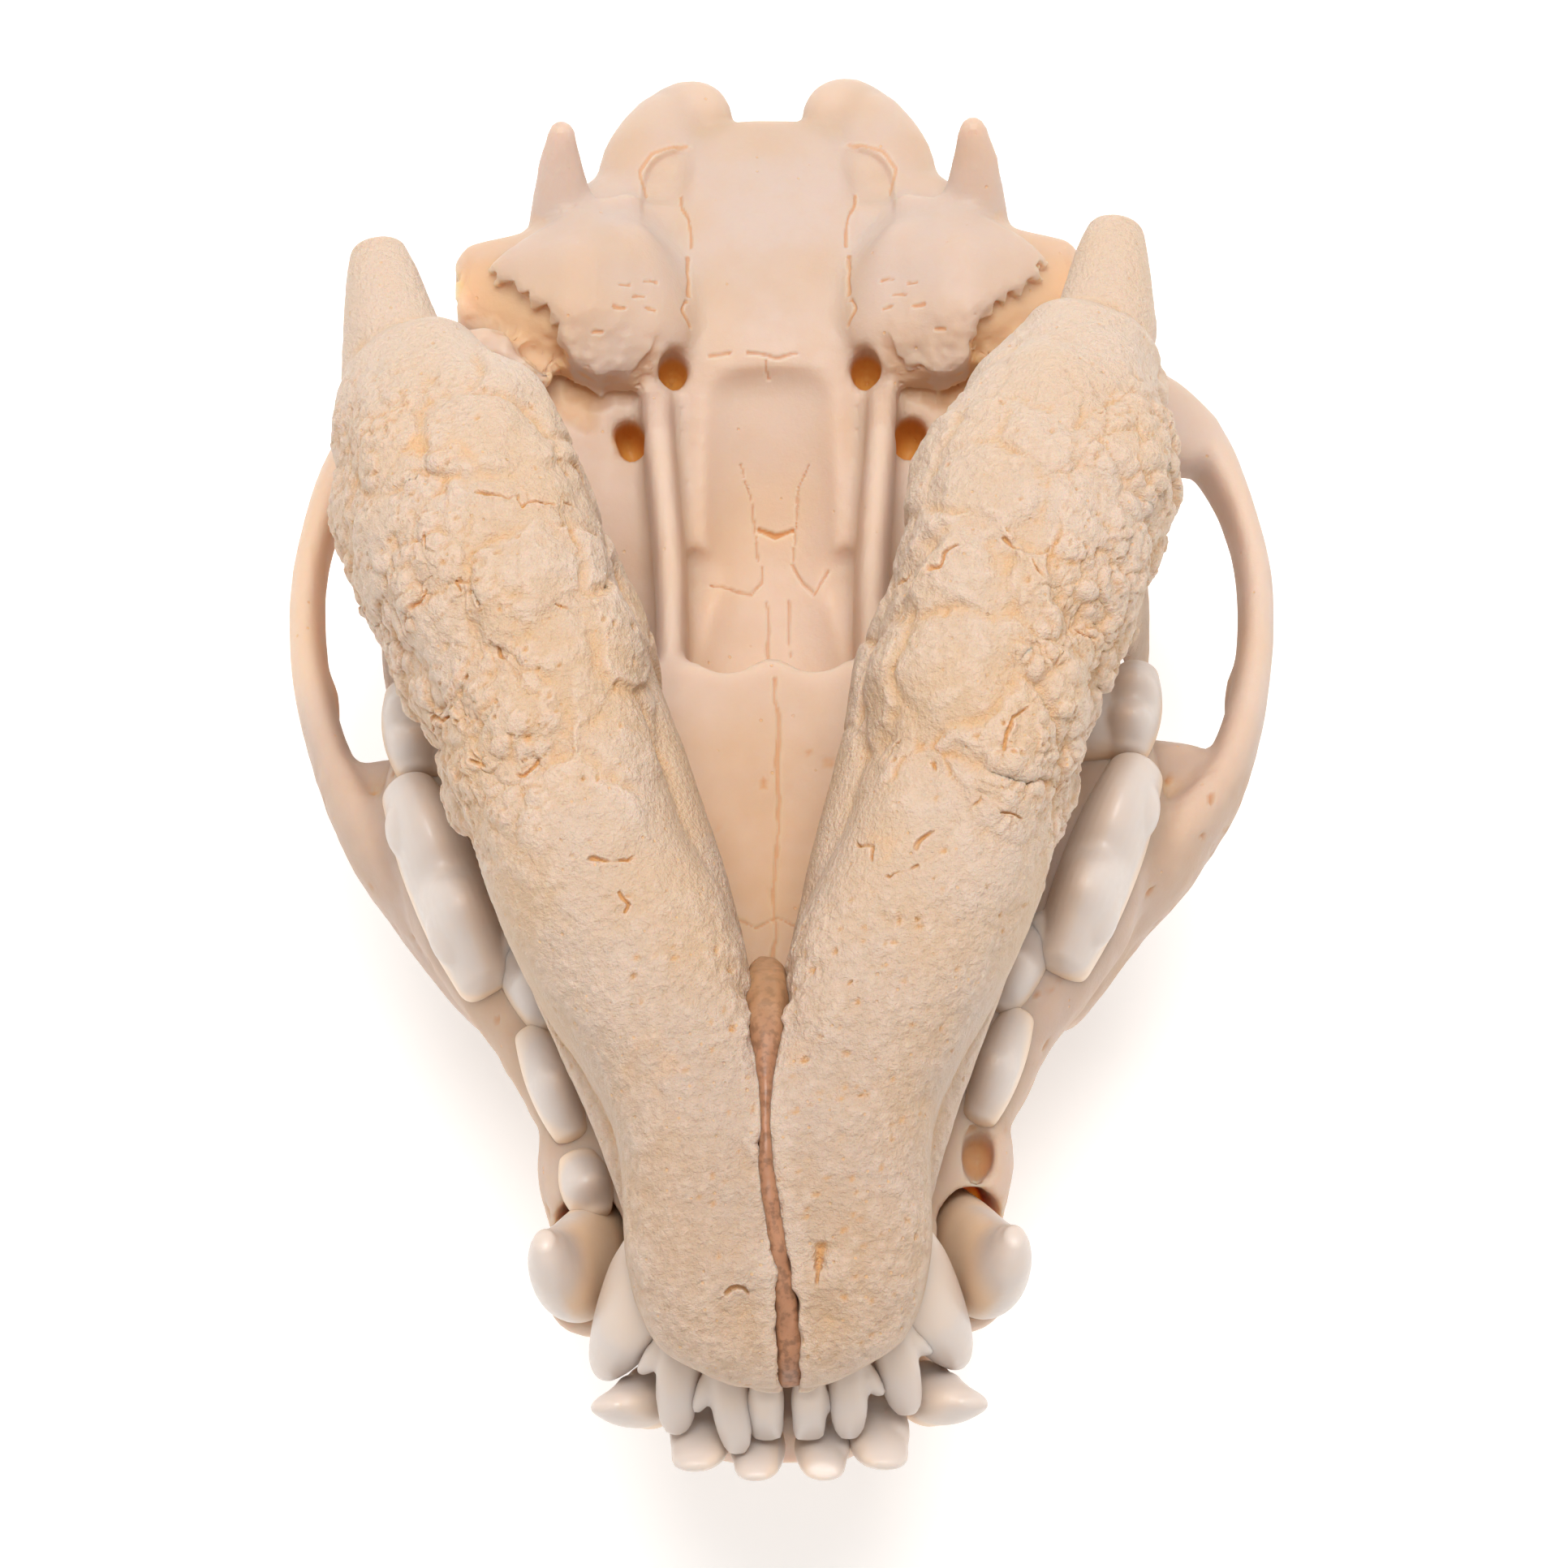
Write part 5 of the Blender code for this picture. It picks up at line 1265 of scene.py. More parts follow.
JAW_CRACKS = {
    -1: [
        (0.34, [(-24.2, 74.7), (-21.9, 74.1), (-20.9, 74.4), (-20.5, 73.2), (-19.2, 73.7), (-17.7, 73.7), (-16.4, 74.5)]),
        (0.34, [(-28.7, 70.4), (-28.4, 68.9), (-28.6, 67.4)]),
        (0.42, [(-28.6, 66.4), (-29.6, 65.4), (-30.4, 64.0)]),
        (0.30, [(-25.9, 66.6), (-25.3, 65.2), (-24.4, 64.3), (-24.1, 63.3), (-24.3, 62.5)]),
        (0.38, [(-23.0, 63.4), (-22.5, 61.9), (-22.3, 60.1), (-21.4, 59.2), (-21.2, 57.8)]),
        (0.28, [(-17.9, 64.4), (-16.4, 64.0), (-15.7, 64.8), (-13.6, 64.8)]),
        (0.34, [(-28.2, 56.9), (-26.7, 56.2), (-24.8, 56.1), (-23.2, 55.2), (-22.8, 55.8)]),
        (0.36, [(-24.6, 51.8), (-23.0, 51.0), (-22.5, 50.1), (-20.4, 49.9), (-19.4, 50.9)]),
        (0.34, [(-17.4, 44.0), (-15.8, 43.2), (-13.8, 42.6), (-11.8, 42.7), (-10.8, 43.3)]),
        (0.30, [(-12.5, 40.1), (-12.0, 38.9), (-12.4, 38.4)]),
    ],
    1: [
        (0.44, [(10.1, 67.6), (11.4, 67.7), (12.0, 68.3), (12.4, 67.4), (13.8, 67.7), (14.2, 68.8), (16.3, 69.9)]),
        (0.34, [(25.0, 62.9), (25.8, 62.5), (27.2, 62.3)]),
        (0.36, [(21.4, 60.8), (21.5, 59.8), (20.5, 59.3), (21.8, 59.6), (23.7, 59.8)]),
        (0.30, [(22.3, 55.8), (20.9, 54.7), (20.0, 54.2), (19.6, 52.6), (19.4, 51.1)]),
        (0.30, [(21.0, 52.2), (22.0, 52.1)]),
        (0.32, [(13.2, 50.8), (13.5, 49.9), (12.9, 48.8)]),
        (0.32, [(10.5, 53.1), (9.0, 51.9)]),
        (0.34, [(17.5, 49.0), (17.0, 47.5), (14.6, 45.9), (13.2, 44.7), (11.9, 43.5)]),
        (0.34, [(7.3, 45.1), (8.1, 44.0), (8.8, 41.9), (9.7, 41.0), (11.9, 42.2)]),
        (0.28, [(18.6, 46.2), (20.4, 46.3)]),
        (0.28, [(19.6, 70.0), (21.6, 67.8), (23.0, 65.8)]),
    ],
}
JAW_HOLES = {
    -1: [(-25.2, 58.7, 0.5), (-20.1, 52.9, 0.55), (-15.5, 49.5, 0.4), (-14.3, 49.6, 0.45), (-11.5, 33.4, 0.5)]
    + [(-3.1, 29.4, 0.6), (-3.3, 34.4, 0.45), (-19.3, 58.7, 0.35), (-17.4, 59.1, 0.35), (-4.6, 36.0, 0.4)],
    1: [(3.1, 34.2, 0.5), (5.1, 35.6, 0.45), (6.3, 32.9, 0.4), (6.9, 31.2, 0.4), (7.0, 23.8, 0.35), (23.9, 69.7, 0.4)]
    + [(23.1, 68.9, 0.3), (23.8, 67.4, 0.4), (16.8, 52.6, 0.45), (14.0, 43.3, 0.45), (11.8, 37.8, 0.4)]
    + [(10.4, 37.6, 0.4), (9.9, 36.0, 0.45), (2.6, 26.8, 0.6)],
}
JAW_STAINS = {
    -1: [(1.5, [(-30.6, 80.4), (-28.6, 78.6), (-27.0, 77.0)]), (1.1, [(-26.4, 79.2), (-24.6, 77.0)])]
    + [(2.6, [(-10.4, 26.9), (-9.4, 26.3)])],
    1: [(2.2, [(1.2, 27.8), (1.8, 27.2)]), (1.8, [(8.6, 44.4), (9.4, 43.6)])],
}
FRONT_HOLLOWS = {-1: [(-3.2, 6.4, 2.8)], 1: [(3.5, 10.6, 1.5), (4.4, 6.6, 2.6)]}
FRONT_MARKS = {
    -1: [(0.24, [(-4.1, 8.2), (-3.7, 8.6), (-3.2, 8.7), (-2.7, 8.6), (-2.4, 8.2)])],
    1: [(0.2, [(3.45, 10.4), (3.2, 9.0)])],
}
FRONT_SLITS = {-1: [], 1: [(3.65, 11.7, 0.6), (3.55, 11.2, 0.55), (3.5, 10.7, 0.48), (3.42, 10.2, 0.42)]}


def midline(y):
    """Where the seam between the jaw halves runs: it wanders a little from side to side."""
    knots = [(0, 1.0), (5.5, 1.0), (9, 0.7), (11.5, 0.2), (14, 0.0), (18.8, -0.8), (22, -0.8), (25, -0.7)]
    knots += [(28, -0.6), (40, -0.6)]
    return np.interp(y, *zip(*knots))


def seam_half(y):
    """Half the width of that seam."""
    knots = [(0, 0.8), (5, 0.95), (9, 0.9), (12, 0.55), (14, 0.42), (18.6, 0.42), (20.2, 0.55), (21, 0.2)]
    knots += [(24.6, 0.2), (26, 0.5), (27.6, 1.1), (30, 1.5), (33, 1.65), (35.4, 1.2), (37, 0.7), (40, 0.5)]
    return np.interp(y, *zip(*knots))


def build_jaw(side, sizes):
    pieces = new_collection("jaw_pieces")
    jaw_pieces(side, pieces)
    jaw = fused(f"jaw_{SIDE_NAMES[side]}", pieces)
    cut = new_collection("symphysis_cut")
    near, far = sorted((side * SYMPHYSIS_HALF, -side * FAR))
    block("symphysis_cut", (near, -FAR, -FAR), (far, FAR, FAR), cut)
    boolean(jaw, "DIFFERENCE", cut)
    soften(jaw, sizes.jaw_grain, 3)
    largest_body(jaw)
    grow(jaw, sizes)
    return turned(jaw)


def dress_jaw(side, jaw, sizes):
    """Flakes, knobs, cracks, holes and pores of the new bone, and the numbers for its colours."""
    wide = [(half + 0.5, marks) for half, marks in JAW_CRACKS[side] + FRONT_MARKS[side]]
    points = skull_points(jaw)
    refine(jaw, (line_share(points, wide) > 0) & (points[:, 2] > 14))
    points, normals = skull_points(jaw), normals_of(jaw)
    x, y, z = points.T
    weight, border = kept_number(jaw, "growth"), kept_number(jaw, "border")
    below = smoothstep(0.0, 0.4, normals[:, 2])
    inner_line = np.interp(y, (40, 52, 65, 80), (14.5, 17, 21, 25))
    outer = smoothstep(-2, 5, side * x - inner_line + hills(points, 6, 228) * 2)
    wall = smoothstep(0.0, 0.8, -side * normals[:, 0]) * smoothstep(24, 15, z)
    calm = np.maximum(smoothstep(82, 92, y), wall)
    rough = weight * (1 - 0.85 * calm)
    wander = warped(warped(points, 5, 1.4, 200 + side), 1.6, 0.4, 210 + side)
    near, second, tone = knobs(wander * (1, 0.8, 0.6), sizes.flake_size / MM, 220 + side)
    edge = second - near
    flakes = ((tone - 0.4) * 0.3 + (1 - near) * 0.2) * smoothstep(0, 0.12, edge) * (0.35 + 0.65 * outer)
    here = smoothstep(-0.1, 0.4, hills(points, 4, 230 + side))
    cracks = (1 - smoothstep(0.0, 0.05, edge)) * here * (0.1 + 0.45 * outer)
    ledges = (1 - smoothstep(0.0, 0.035, border)) * smoothstep(0.0, 0.5, hills(points, 5, 233 + side))
    near, second, tone = knobs(warped(points, 2, 0.5, 240 + side), sizes.nodule_size / MM, 250 + side)
    bumps = (1 - near**2) * (0.1 + 0.6 * tone) * outer * smoothstep(-0.7, 0.1, hills(points, 4, 245))
    clefts = (1 - smoothstep(0.0, 0.12, second - near)) * (tone > 0.5) * outer
    near, _, tone = knobs(warped(points, 1, 0.2, 260 + side), 1.1, 270 + side)
    grains = (1 - near**2) * 0.26 * (0.2 + 0.8 * outer) + hills(points, 0.7, 275) * 0.06
    front = smoothstep(46, 38, y) * below
    pits = (1 - smoothstep(0.12, 0.29, near)) * (tone > 0.84 - 0.12 * np.maximum(outer, front))
    fine = hills(points, 0.8, 280) * 0.05 + hills(points, 1.4, 282) * 0.06 + hills(points, 2.8, 281) * 0.08
    drawn = line_share(points, [(half * 0.6, marks) for half, marks in JAW_CRACKS[side]], 0.45) * (z > 22)
    drawn *= smoothstep(-0.2, 0.2, hills(points, 1.7, 297))
    holes = spot_share(points, [(a, b, radius * 0.62) for a, b, radius in JAW_HOLES[side]]) * (z > 20)
    arch_mark = line_share(points, FRONT_MARKS[side], 0.05) * below * (z > 14) * 0.8
    marks = np.maximum(arch_mark, spot_share(points, FRONT_SLITS[side]) * below * (z > 14))
    hollow = np.zeros(len(points))
    for a, b, radius in FRONT_HOLLOWS[side]:
        hollow += np.exp(-(((x - a) ** 2 + (y - b) ** 2) / (radius * 0.6) ** 2)) * below * (z > 10) * 0.45
    grit, _, _ = knobs(warped(points, 0.9, 0.2, 263), 0.75, 273)
    coarse, _, _ = knobs(warped(points, 1.8, 0.4, 264), 1.7, 274)
    sand = np.maximum(front, 0.35 * rough)
    fine += sand * ((1 - grit**2) * 0.40 + (1 - coarse**2) * 0.38 - 0.36)
    fine += front * (hills(points, 5, 283) * 0.5 + hills(points, 2.6, 284) * 0.24)
    front_pits = pits * front * (hills(points, 7, 290) > -0.35)
    relief = rough * (flakes + bumps + grains - 0.33) + fine * (0.5 + 0.5 * rough)
    cuts = np.maximum.reduce([cracks * rough * 0.7, ledges * rough * 0.5, clefts * rough * 0.35, drawn * 0.7])
    push = relief - cuts * sizes.crack_depth / MM - holes * 0.5 - marks * 0.65 - hollow
    push -= pits * rough * 0.3 + front_pits * 0.18
    points = points + normals * push[:, None]
    open_seam(side, points)
    place_points(jaw, points)
    shade_smooth(jaw)
    sunk = sunkenness(jaw, 16)
    # Painted shade: a warm tint in concave spots; painted highlight on raised spots and painted light on the back part
    # of the jaw; painted shade darker towards the front.
    keep_number(jaw, "hollow", smoothstep(0.01, 0.26, sunk))
    keep_number(jaw, "ridge", np.maximum(smoothstep(0.0, 0.16, -sunk), smoothstep(66, 90, y)))
    keep_number(jaw, "dim", smoothstep(52, 14, y) * 0.6)
    # Painted shade in the cracks, holes, pits and clefts and under the edges of the plates, together with the drawn
    # tears.
    tints = [drawn * 0.65, holes * 0.6, marks * 0.5, cracks * rough * 0.4, ledges * rough * 0.45]
    tints += [clefts * rough * 0.3, pits * rough * 0.45, front_pits * 0.4]
    keep_number(jaw, "crack", np.maximum.reduce(tints))
    # Real stains of the jaw, and painted shade lower down towards the teeth.
    stain_and_shade = line_share(points, JAW_STAINS[side], 0.5) * smoothstep(-0.5, 0.3, hills(points, 1.4, 295))
    deep = smoothstep(24, 10, z) * 0.25
    keep_number(jaw, "stain_and_shade", np.maximum(stain_and_shade * (z > 14) * np.where(y > 60, 1.2, 0.45), deep))


def open_seam(side, points):
    """Moves the bone next to the midline, so that the seam has its wandering course and width."""
    x, y, _ = points.T
    flat_edge = side * SYMPHYSIS_HALF + JAW_SHIFT - math.sin(JAW_TURN) * y
    ragged = hills(points, 1.5, 310 + side) * 0.34 + hills(points, 0.6, 320 + side) * 0.12
    wanted = midline(y) + side * (seam_half(y) * (1 + ragged) + ragged * 0.2)
    close = np.exp(-np.abs(x - flat_edge) / 1.6) * smoothstep(44, 38, y)
    points[:, 0] = x + (wanted - flat_edge) * close


def build_fibre(sizes):
    """The dried cartilage between the two halves of the jaw, with fine strands."""
    sections = [(2.9, 13.4, 1.4), (4.2, 14.2, 2.6), (6, 15.0, 3.5), (12, 16.9, 4.9), (18, 18.1, 5.8), (24, 18.7, 6.1)]
    sections += [(30, 18.5, 5.6), (33, 18.0, 4.6), (35.2, 17.2, 3.2), (36.8, 16.4, 1.6)]
    rows = [(float(midline(y)), y, z, float(seam_half(y)) + 0.45, tall) for y, z, tall in sections]
    pieces = new_collection("fibre")
    loft("fibre", rows, pieces, power=3.4, count=32, steps=10)
    strip = fused("symphysis_fibre_strip", pieces)
    soften(strip, sizes.jaw_grain * 0.8, 2)
    points, normals = skull_points(strip), normals_of(strip)
    strands = hills(points * (2.0, 0.7, 2.0), 1.6, 301) * 0.1 + hills(points, 1.0, 302) * 0.05
    place_points(strip, points + normals * strands[:, None])
    shade_smooth(strip)
    sunk = sunkenness(strip, 10)
    # Painted shade in the strip's hollows.
    keep_number(strip, "hollow", smoothstep(-0.05, 0.1, sunk))
    keep_number(strip, "fade", smoothstep(26, 35, points[:, 1]))
    return strip


# Finishes

def add_node(tree, kind, sockets=(), **settings):
    """A shader node with its settings, and its sockets set or linked."""
    made = tree.nodes.new(kind)
    for name, value in settings.items():
        setattr(made, name, value)
    for name, value in dict(sockets).items():
        if isinstance(value, bpy.types.NodeSocket):
            tree.links.new(value, made.inputs[name])
        else:
            made.inputs[name].default_value = value
    return made


def number(tree, name):
    """A number that the mesh keeps at each point."""
    return add_node(tree, "ShaderNodeAttribute", attribute_name=name).outputs["Fac"]


def scaled(tree, value, factor, shift=0.0):
    made = add_node(tree, "ShaderNodeMath", {0: value, 1: factor, 2: shift}, operation="MULTIPLY_ADD", use_clamp=True)
    return made.outputs[0]


def blended(tree, factor, first, second, way="MIX"):
    """Two colours mixed by a factor."""
    first, second = ((*c, 1) if isinstance(c, (tuple, list)) else c for c in (first, second))
    made = add_node(tree, "ShaderNodeMix", {0: factor, 6: first, 7: second}, data_type="RGBA", blend_type=way)
    return made.outputs[2]


def noise_at(tree, place, size, detail=3.0, roughness=0.55):
    """Noise with features of this size, in millimetres."""
    sockets = {"Vector": place, "Scale": 1 / (size * MM), "Detail": detail, "Roughness": roughness}
    return add_node(tree, "ShaderNodeTexNoise", sockets).outputs["Fac"]


def range_of(tree, value, low, high, to_low=0.0, to_high=1.0):
    sockets = {"Value": value, "From Min": low, "From Max": high, "To Min": to_low, "To Max": to_high}
    return add_node(tree, "ShaderNodeMapRange", sockets, interpolation_type="SMOOTHSTEP").outputs["Result"]


def pores_at(tree, place, size, share, radius):
    """Small round pores, size apart, in a share of the places."""
    sockets = {"Vector": place, "Scale": 1 / (size * MM), "Randomness": 1.0}
    found = add_node(tree, "ShaderNodeTexVoronoi", sockets)
    dot = range_of(tree, found.outputs["Distance"], radius, radius * 0.45)
    tone = add_node(tree, "ShaderNodeSeparateColor", {"Color": found.outputs["Color"]}).outputs[0]
    there = range_of(tree, tone, 1 - share, 1 - share + 0.02)
    return add_node(tree, "ShaderNodeMath", {0: dot, 1: there}, operation="MULTIPLY").outputs[0]


def new_finish(name):
    made = bpy.data.materials.new(name)
    made.use_nodes = True
    tree = made.node_tree
    shader = tree.nodes["Principled BSDF"]
    place = add_node(tree, "ShaderNodeTexCoord").outputs["Object"]
    return made, tree, shader, place


def set_depth(shader, share, spread, tint):
    """Light that enters the surface and comes out near by."""
    shader.inputs["Subsurface Weight"].default_value = share
    shader.inputs["Subsurface Radius"].default_value = tint
    shader.inputs["Subsurface Scale"].default_value = spread
    shader.inputs["IOR"].default_value = 1.5


def bone_finish(name, base, colours, depth, grain, pores, bump):
    """Dry bone: cream, with painted highlights on raised spots, painted warm shade in hollows, cracks and under edges,
    painted glow where light shines through thin bone, dark pores and faint streaks.
    """
    made, tree, shader, place = new_finish(name)
    broad = noise_at(tree, place, 14, 2)
    cool = tuple(c * f for c, f in zip(base, (1.0, 1.02, 1.06)))
    warm = tuple(c * f for c, f in zip(base, (0.99, 0.93, 0.83)))
    colour = blended(tree, range_of(tree, broad, 0.35, 0.68), cool, warm)
    mottle = noise_at(tree, place, grain, 3, 0.65)
    colour = blended(tree, range_of(tree, mottle, 0.42, 0.75, 0.0, 0.35), colour, warm)
    # Painted glow where light shines through thin bone, painted shade (dim), painted highlight (ridge) and painted
    # warm shade in hollows.
    colour = blended(tree, number(tree, "glow"), colour, tuple(colours.glow))
    colour = blended(tree, number(tree, "dim"), colour, (0.76, 0.74, 0.76), "MULTIPLY")
    colour = blended(tree, scaled(tree, number(tree, "ridge"), 0.4), colour, tuple(colours.pale))
    colour = blended(tree, scaled(tree, number(tree, "hollow"), 0.42), colour, tuple(colours.deep))
    # Painted shade under edges and in recesses, and the jaw's real stains.
    colour = blended(tree, scaled(tree, number(tree, "stain_and_shade"), 0.55), colour, tuple(colours.deep))
    dots = pores_at(tree, place, 0.95, pores, 0.20)
    colour = blended(tree, scaled(tree, dots, 0.55), colour, tuple(colours.deep))
    # Painted shade in cracks, holes and pits, and the dark sutures.
    colour = blended(tree, number(tree, "crack"), colour, tuple(colours.crack))
    tree.links.new(colour, shader.inputs["Base Color"])
    tree.links.new(range_of(tree, mottle, 0.3, 0.7, 0.52, 0.68), shader.inputs["Roughness"])
    rough = noise_at(tree, place, 0.5, 3, 0.68)
    first = add_node(tree, "ShaderNodeBump", {"Height": rough, "Strength": bump, "Distance": 0.0004})
    sockets = {"Height": dots, "Strength": 0.5, "Distance": 0.0002, "Normal": first.outputs["Normal"]}
    second = add_node(tree, "ShaderNodeBump", sockets, invert=True)
    tree.links.new(second.outputs["Normal"], shader.inputs["Normal"])
    set_depth(shader, 0.6, depth, (1.0, 0.52, 0.28))
    shader.inputs["Specular IOR Level"].default_value = 0.35
    return made


def tooth_finish(colours, sizes):
    """Satin enamel, cream towards the neck, with painted warm shade on the inner faces."""
    made, tree, shader, place = new_finish("tooth_enamel")
    cloud = noise_at(tree, place, 3.2, 2)
    colour = blended(tree, range_of(tree, cloud, 0.4, 0.7, 0.0, 0.3), tuple(colours.enamel), tuple(colours.pale))
    colour = blended(tree, scaled(tree, number(tree, "hollow"), 0.35), colour, tuple(colours.pale))
    # Cream near the gum, and painted warm shade on the inner faces.
    colour = blended(tree, scaled(tree, number(tree, "neck"), 0.75), colour, tuple(colours.neck))
    tree.links.new(colour, shader.inputs["Base Color"])
    fine = noise_at(tree, place, 0.6, 3)
    tree.links.new(range_of(tree, fine, 0.3, 0.7, 0.34, 0.46), shader.inputs["Roughness"])
    wavy = noise_at(tree, place, 1.8, 1)
    bump = add_node(tree, "ShaderNodeBump", {"Height": wavy, "Strength": 0.1, "Distance": 0.0002})
    tree.links.new(bump.outputs["Normal"], shader.inputs["Normal"])
    set_depth(shader, 0.5, sizes.translucency * 0.4, (1.0, 0.72, 0.5))
    return made


def fibre_finish(colours):
    """Dried cartilage, brown with paler strands along the seam."""
    made, tree, shader, place = new_finish("dried_cartilage")
    stretched = add_node(tree, "ShaderNodeMapping", {"Vector": place, "Scale": (1.4, 0.6, 1.2)}).outputs[0]
    strands = noise_at(tree, stretched, 1.8, 3, 0.5)
    pale = tuple(min(1.0, c * f) for c, f in zip(colours.fibre, (1.2, 1.25, 1.3)))
    colour = blended(tree, range_of(tree, strands, 0.3, 0.75), tuple(colours.fibre), pale)
    # Painted shade in the strip's hollows.
    colour = blended(tree, scaled(tree, number(tree, "hollow"), 0.5), colour, tuple(c * 0.7 for c in colours.fibre))
    film = noise_at(tree, place, 0.7, 4)
    dark = tuple(c * 0.55 for c in colours.fibre)
    colour = blended(tree, range_of(tree, film, 0.44, 0.64, 0.0, 0.75), colour, dark)
    colour = blended(tree, scaled(tree, number(tree, "fade"), 0.5), colour, tuple(c * 0.55 for c in colours.deep))
    tree.links.new(colour, shader.inputs["Base Color"])
    tree.links.new(range_of(tree, strands, 0.3, 0.7, 0.42, 0.6), shader.inputs["Roughness"])
    bump = add_node(tree, "ShaderNodeBump", {"Height": strands, "Strength": 0.3, "Distance": 0.0002})
    tree.links.new(bump.outputs["Normal"], shader.inputs["Normal"])
    set_depth(shader, 0.5, 0.0014, (1.0, 0.45, 0.25))
    return made


def floor_finish(colours):
    """A pale, matte studio floor, faintly lit from below."""
    made, tree, shader, place = new_finish("studio_floor")
    grain = noise_at(tree, place, 2.0, 3)
    dim = tuple(c * 0.985 for c in colours.floor)
    colour = blended(tree, grain, tuple(colours.floor), dim)
    tree.links.new(colour, shader.inputs["Base Color"])
    shader.inputs["Roughness"].default_value = 0.9
    shader.inputs["Emission Color"].default_value = (1.0, 0.99, 0.97, 1)
    shader.inputs["Emission Strength"].default_value = 0.3
    return made


def put_on(obj, finish, slot, *nodes):
    """Gives a piece its finish, fastens it to the body and hides the parts of the model that it stands in for."""
    obj.data.materials.clear()
    obj.data.materials.append(finish)
    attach(obj, BODY)
    if nodes:
        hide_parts(*nodes)
    return obj


# Operators

class SKULL_OT_cranium(Operator):
    """Build the cranium and its ear capsules in one piece of bone"""

    bl_idname = "skull.cranium"
    bl_label = "Cranium"

    def execute(self, context):
        sizes, colours = context.scene.skull_sizes, context.scene.skull_colours
        bone = build_cranium(sizes)
        dress_cranium(bone, sizes)
        finish = bone_finish("cranium_bone", tuple(colours.bone), colours, sizes.translucency, 3.0, 0.05, 0.12)
        put_on(bone, finish, "bone", *CRANIUM_NODES)
        return {"FINISHED"}


class SKULL_OT_upper_teeth(Operator):
    """Build the teeth of the upper jaw"""

    bl_idname = "skull.upper_teeth"
    bl_label = "Upper teeth"

    def execute(self, context):
        sizes = context.scene.skull_sizes
        finish = tooth_finish(context.scene.skull_colours, sizes)
        # The second number of each pair is how much painted shade the inner faces get.
        pieces = [(upper_incisors(sizes), 0.3)]
        for side in SIDES:
            pieces += [(upper_canine(side, sizes), 1.0), (upper_cheek_teeth(side, sizes), 0.25)]
        for teeth, inner in pieces:
            dress_teeth(teeth, 0.0, 1, inner)
            put_on(teeth, finish, "teeth")
        return {"FINISHED"}


class SKULL_OT_jaws(Operator):
    """Build both halves of the lower jaw with their rough new bone"""

    bl_idname = "skull.jaws"
    bl_label = "Lower jaw"

    def execute(self, context):
        sizes, colours = context.scene.skull_sizes, context.scene.skull_colours
        finish = bone_finish("jaw_bone", tuple(colours.growth), colours, sizes.translucency * 0.16, 1.6, 0.34, 1.0)
        for side in SIDES:
            jaw = build_jaw(side, sizes)
            dress_jaw(side, jaw, sizes)
            put_on(jaw, finish, "jaw_bone", f"mandible_{SIDE_NAMES[side]}")
        return {"FINISHED"}


class SKULL_OT_lower_teeth(Operator):
    """Build the teeth of the lower jaw"""

    bl_idname = "skull.lower_teeth"
    bl_label = "Lower teeth"

    def execute(self, context):
        sizes = context.scene.skull_sizes
        finish = bpy.data.materials.get("tooth_enamel") or tooth_finish(context.scene.skull_colours, sizes)
        pieces = [lower_incisors(sizes)]
        for side in SIDES:
            pieces += [lower_canine(side, sizes), lower_cheek_teeth(side, sizes)]
        for teeth in pieces:
            dress_teeth(teeth, 10.4, -1, 0.0, 0.25)
            put_on(teeth, finish, "teeth")
        return {"FINISHED"}


class SKULL_OT_fibre(Operator):
    """Build the dried cartilage between the jaw halves"""

    bl_idname = "skull.fibre"
    bl_label = "Jaw seam"

    def execute(self, context):
        strip = build_fibre(context.scene.skull_sizes)
        put_on(strip, fibre_finish(context.scene.skull_colours), "fibre", "symphysis_fibre")
        return {"FINISHED"}


def area_light(name, place, target, size, power, colour=(1, 1, 1)):
    data = bpy.data.lights.new(name, "AREA")
    data.shape = "DISK"
    data.size = size
    data.energy = power
    data.color = colour
    made = bpy.data.objects.new(name, data)
    bpy.context.scene.collection.objects.link(made)
    made.location = place
    made.rotation_euler = (Vector(target) - Vector(place)).to_track_quat("-Z", "Y").to_euler()
    return made


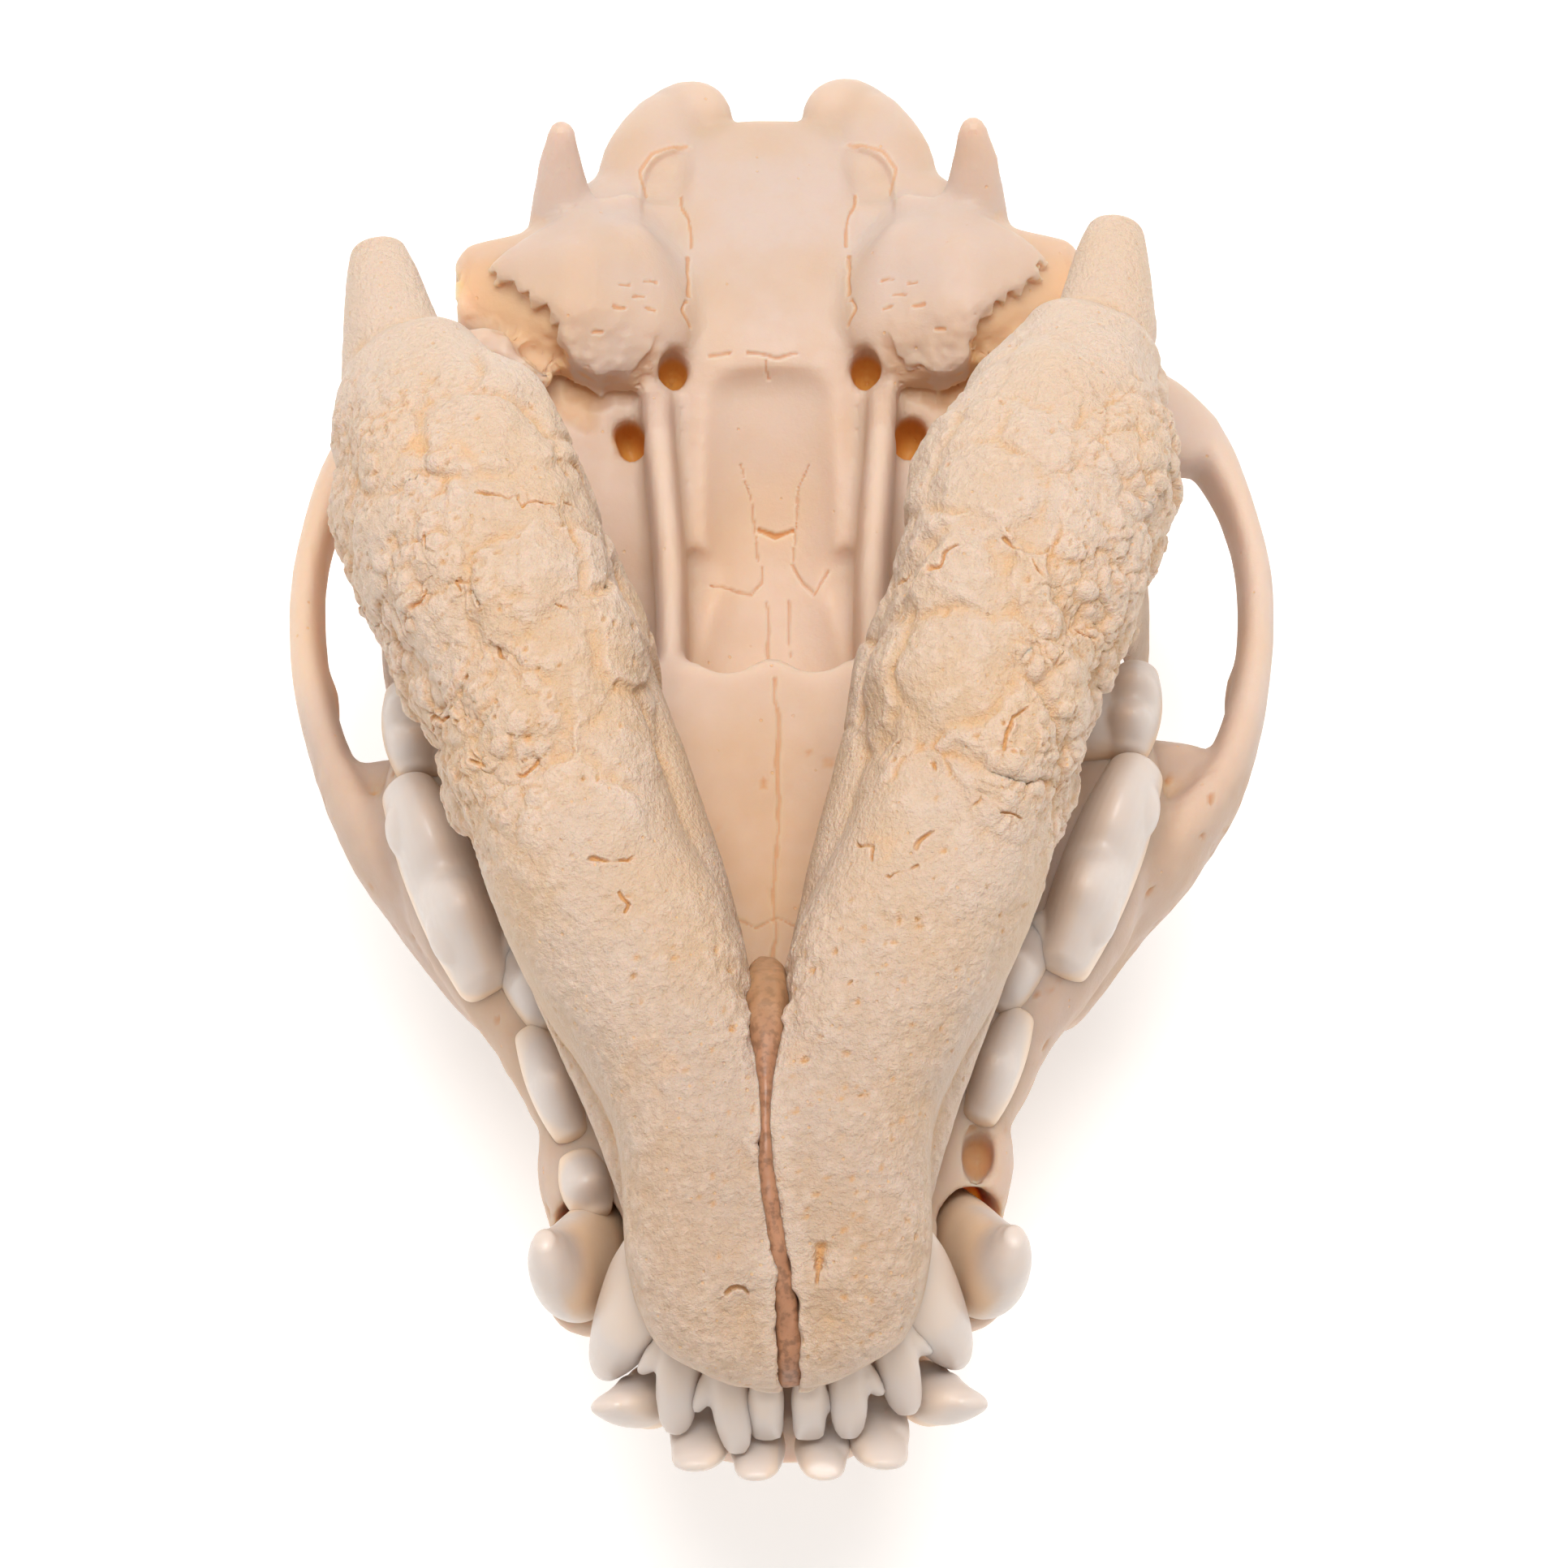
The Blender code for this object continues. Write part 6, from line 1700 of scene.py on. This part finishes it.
class SKULL_OT_stage(Operator):
    """Set up the pale floor, the soft lights and the camera over the skull"""

    bl_idname = "skull.stage"
    bl_label = "Stage"

    def execute(self, context):
        scene = context.scene
        mesh = bmesh.new()
        bmesh.ops.create_grid(mesh, x_segments=8, y_segments=8, size=2.5)
        floor = finish_mesh("studio_floor", mesh, scene.collection)
        floor.data.materials.append(floor_finish(scene.skull_colours))
        sky = bpy.data.worlds.new("white_studio")
        sky.use_nodes = True
        background = sky.node_tree.nodes["Background"]
        background.inputs["Color"].default_value = (1.0, 0.99, 0.975, 1)
        background.inputs["Strength"].default_value = 0.62
        scene.world = sky
        area_light("key_light", (0.0, 0.12, 0.85), (0, 0, 0.05), 0.45, 6.1, (1.0, 0.98, 0.95))
        scene.view_settings.view_transform = "Standard"
        self.add_camera(scene)
        return {"FINISHED"}

    @staticmethod
    def add_camera(scene):
        """A long lens half a metre above the skull, tipped towards its front teeth."""
        tip, distance, roll = math.radians(18.0), 0.5, math.radians(0.5)
        target = world((1.0, 56.0, 8.0))
        back = Vector((0, -math.sin(tip), math.cos(tip)))
        up = Vector((0, math.cos(tip), math.sin(tip)))
        right = up.cross(back)
        data = bpy.data.cameras.new("camera")
        data.sensor_width = 36
        data.lens = 7150 / 1932 * 36
        data.clip_start = 0.01
        camera = bpy.data.objects.new("camera", data)
        scene.collection.objects.link(camera)
        turn = Matrix((right, up, back)).transposed().to_4x4() @ Matrix.Rotation(-roll, 4, "Z")
        camera.matrix_world = Matrix.Translation(target + back * distance) @ turn
        scene.camera = camera


class SKULL_PT_panel(Panel):
    """Sizes, colours and the steps that build the skull"""

    bl_label = "Dog Skull"
    bl_idname = "SKULL_PT_panel"
    bl_space_type = "VIEW_3D"
    bl_region_type = "UI"
    bl_category = "Skull"

    def draw(self, context):
        layout = self.layout
        for step in STEPS:
            layout.operator(step.bl_idname)
        for group in (context.scene.skull_sizes, context.scene.skull_colours):
            box = layout.box()
            for name in group.__annotations__:
                box.prop(group, name)


STEPS = (
    SKULL_OT_cranium,
    SKULL_OT_upper_teeth,
    SKULL_OT_jaws,
    SKULL_OT_lower_teeth,
    SKULL_OT_fibre,
    SKULL_OT_stage,
)
CLASSES = (SkullSizes, SkullColours, *STEPS, SKULL_PT_panel)


def register():
    for made in CLASSES:
        bpy.utils.register_class(made)
    bpy.types.Scene.skull_sizes = PointerProperty(type=SkullSizes)
    bpy.types.Scene.skull_colours = PointerProperty(type=SkullColours)


def unregister():
    del bpy.types.Scene.skull_sizes
    del bpy.types.Scene.skull_colours
    for made in reversed(CLASSES):
        bpy.utils.unregister_class(made)


def main():
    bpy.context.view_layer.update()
    register()
    bpy.ops.skull.cranium()
    bpy.ops.skull.upper_teeth()
    bpy.ops.skull.jaws()
    bpy.ops.skull.lower_teeth()
    bpy.ops.skull.fibre()
    bpy.ops.skull.stage()


if __name__ == "__main__":
    main()
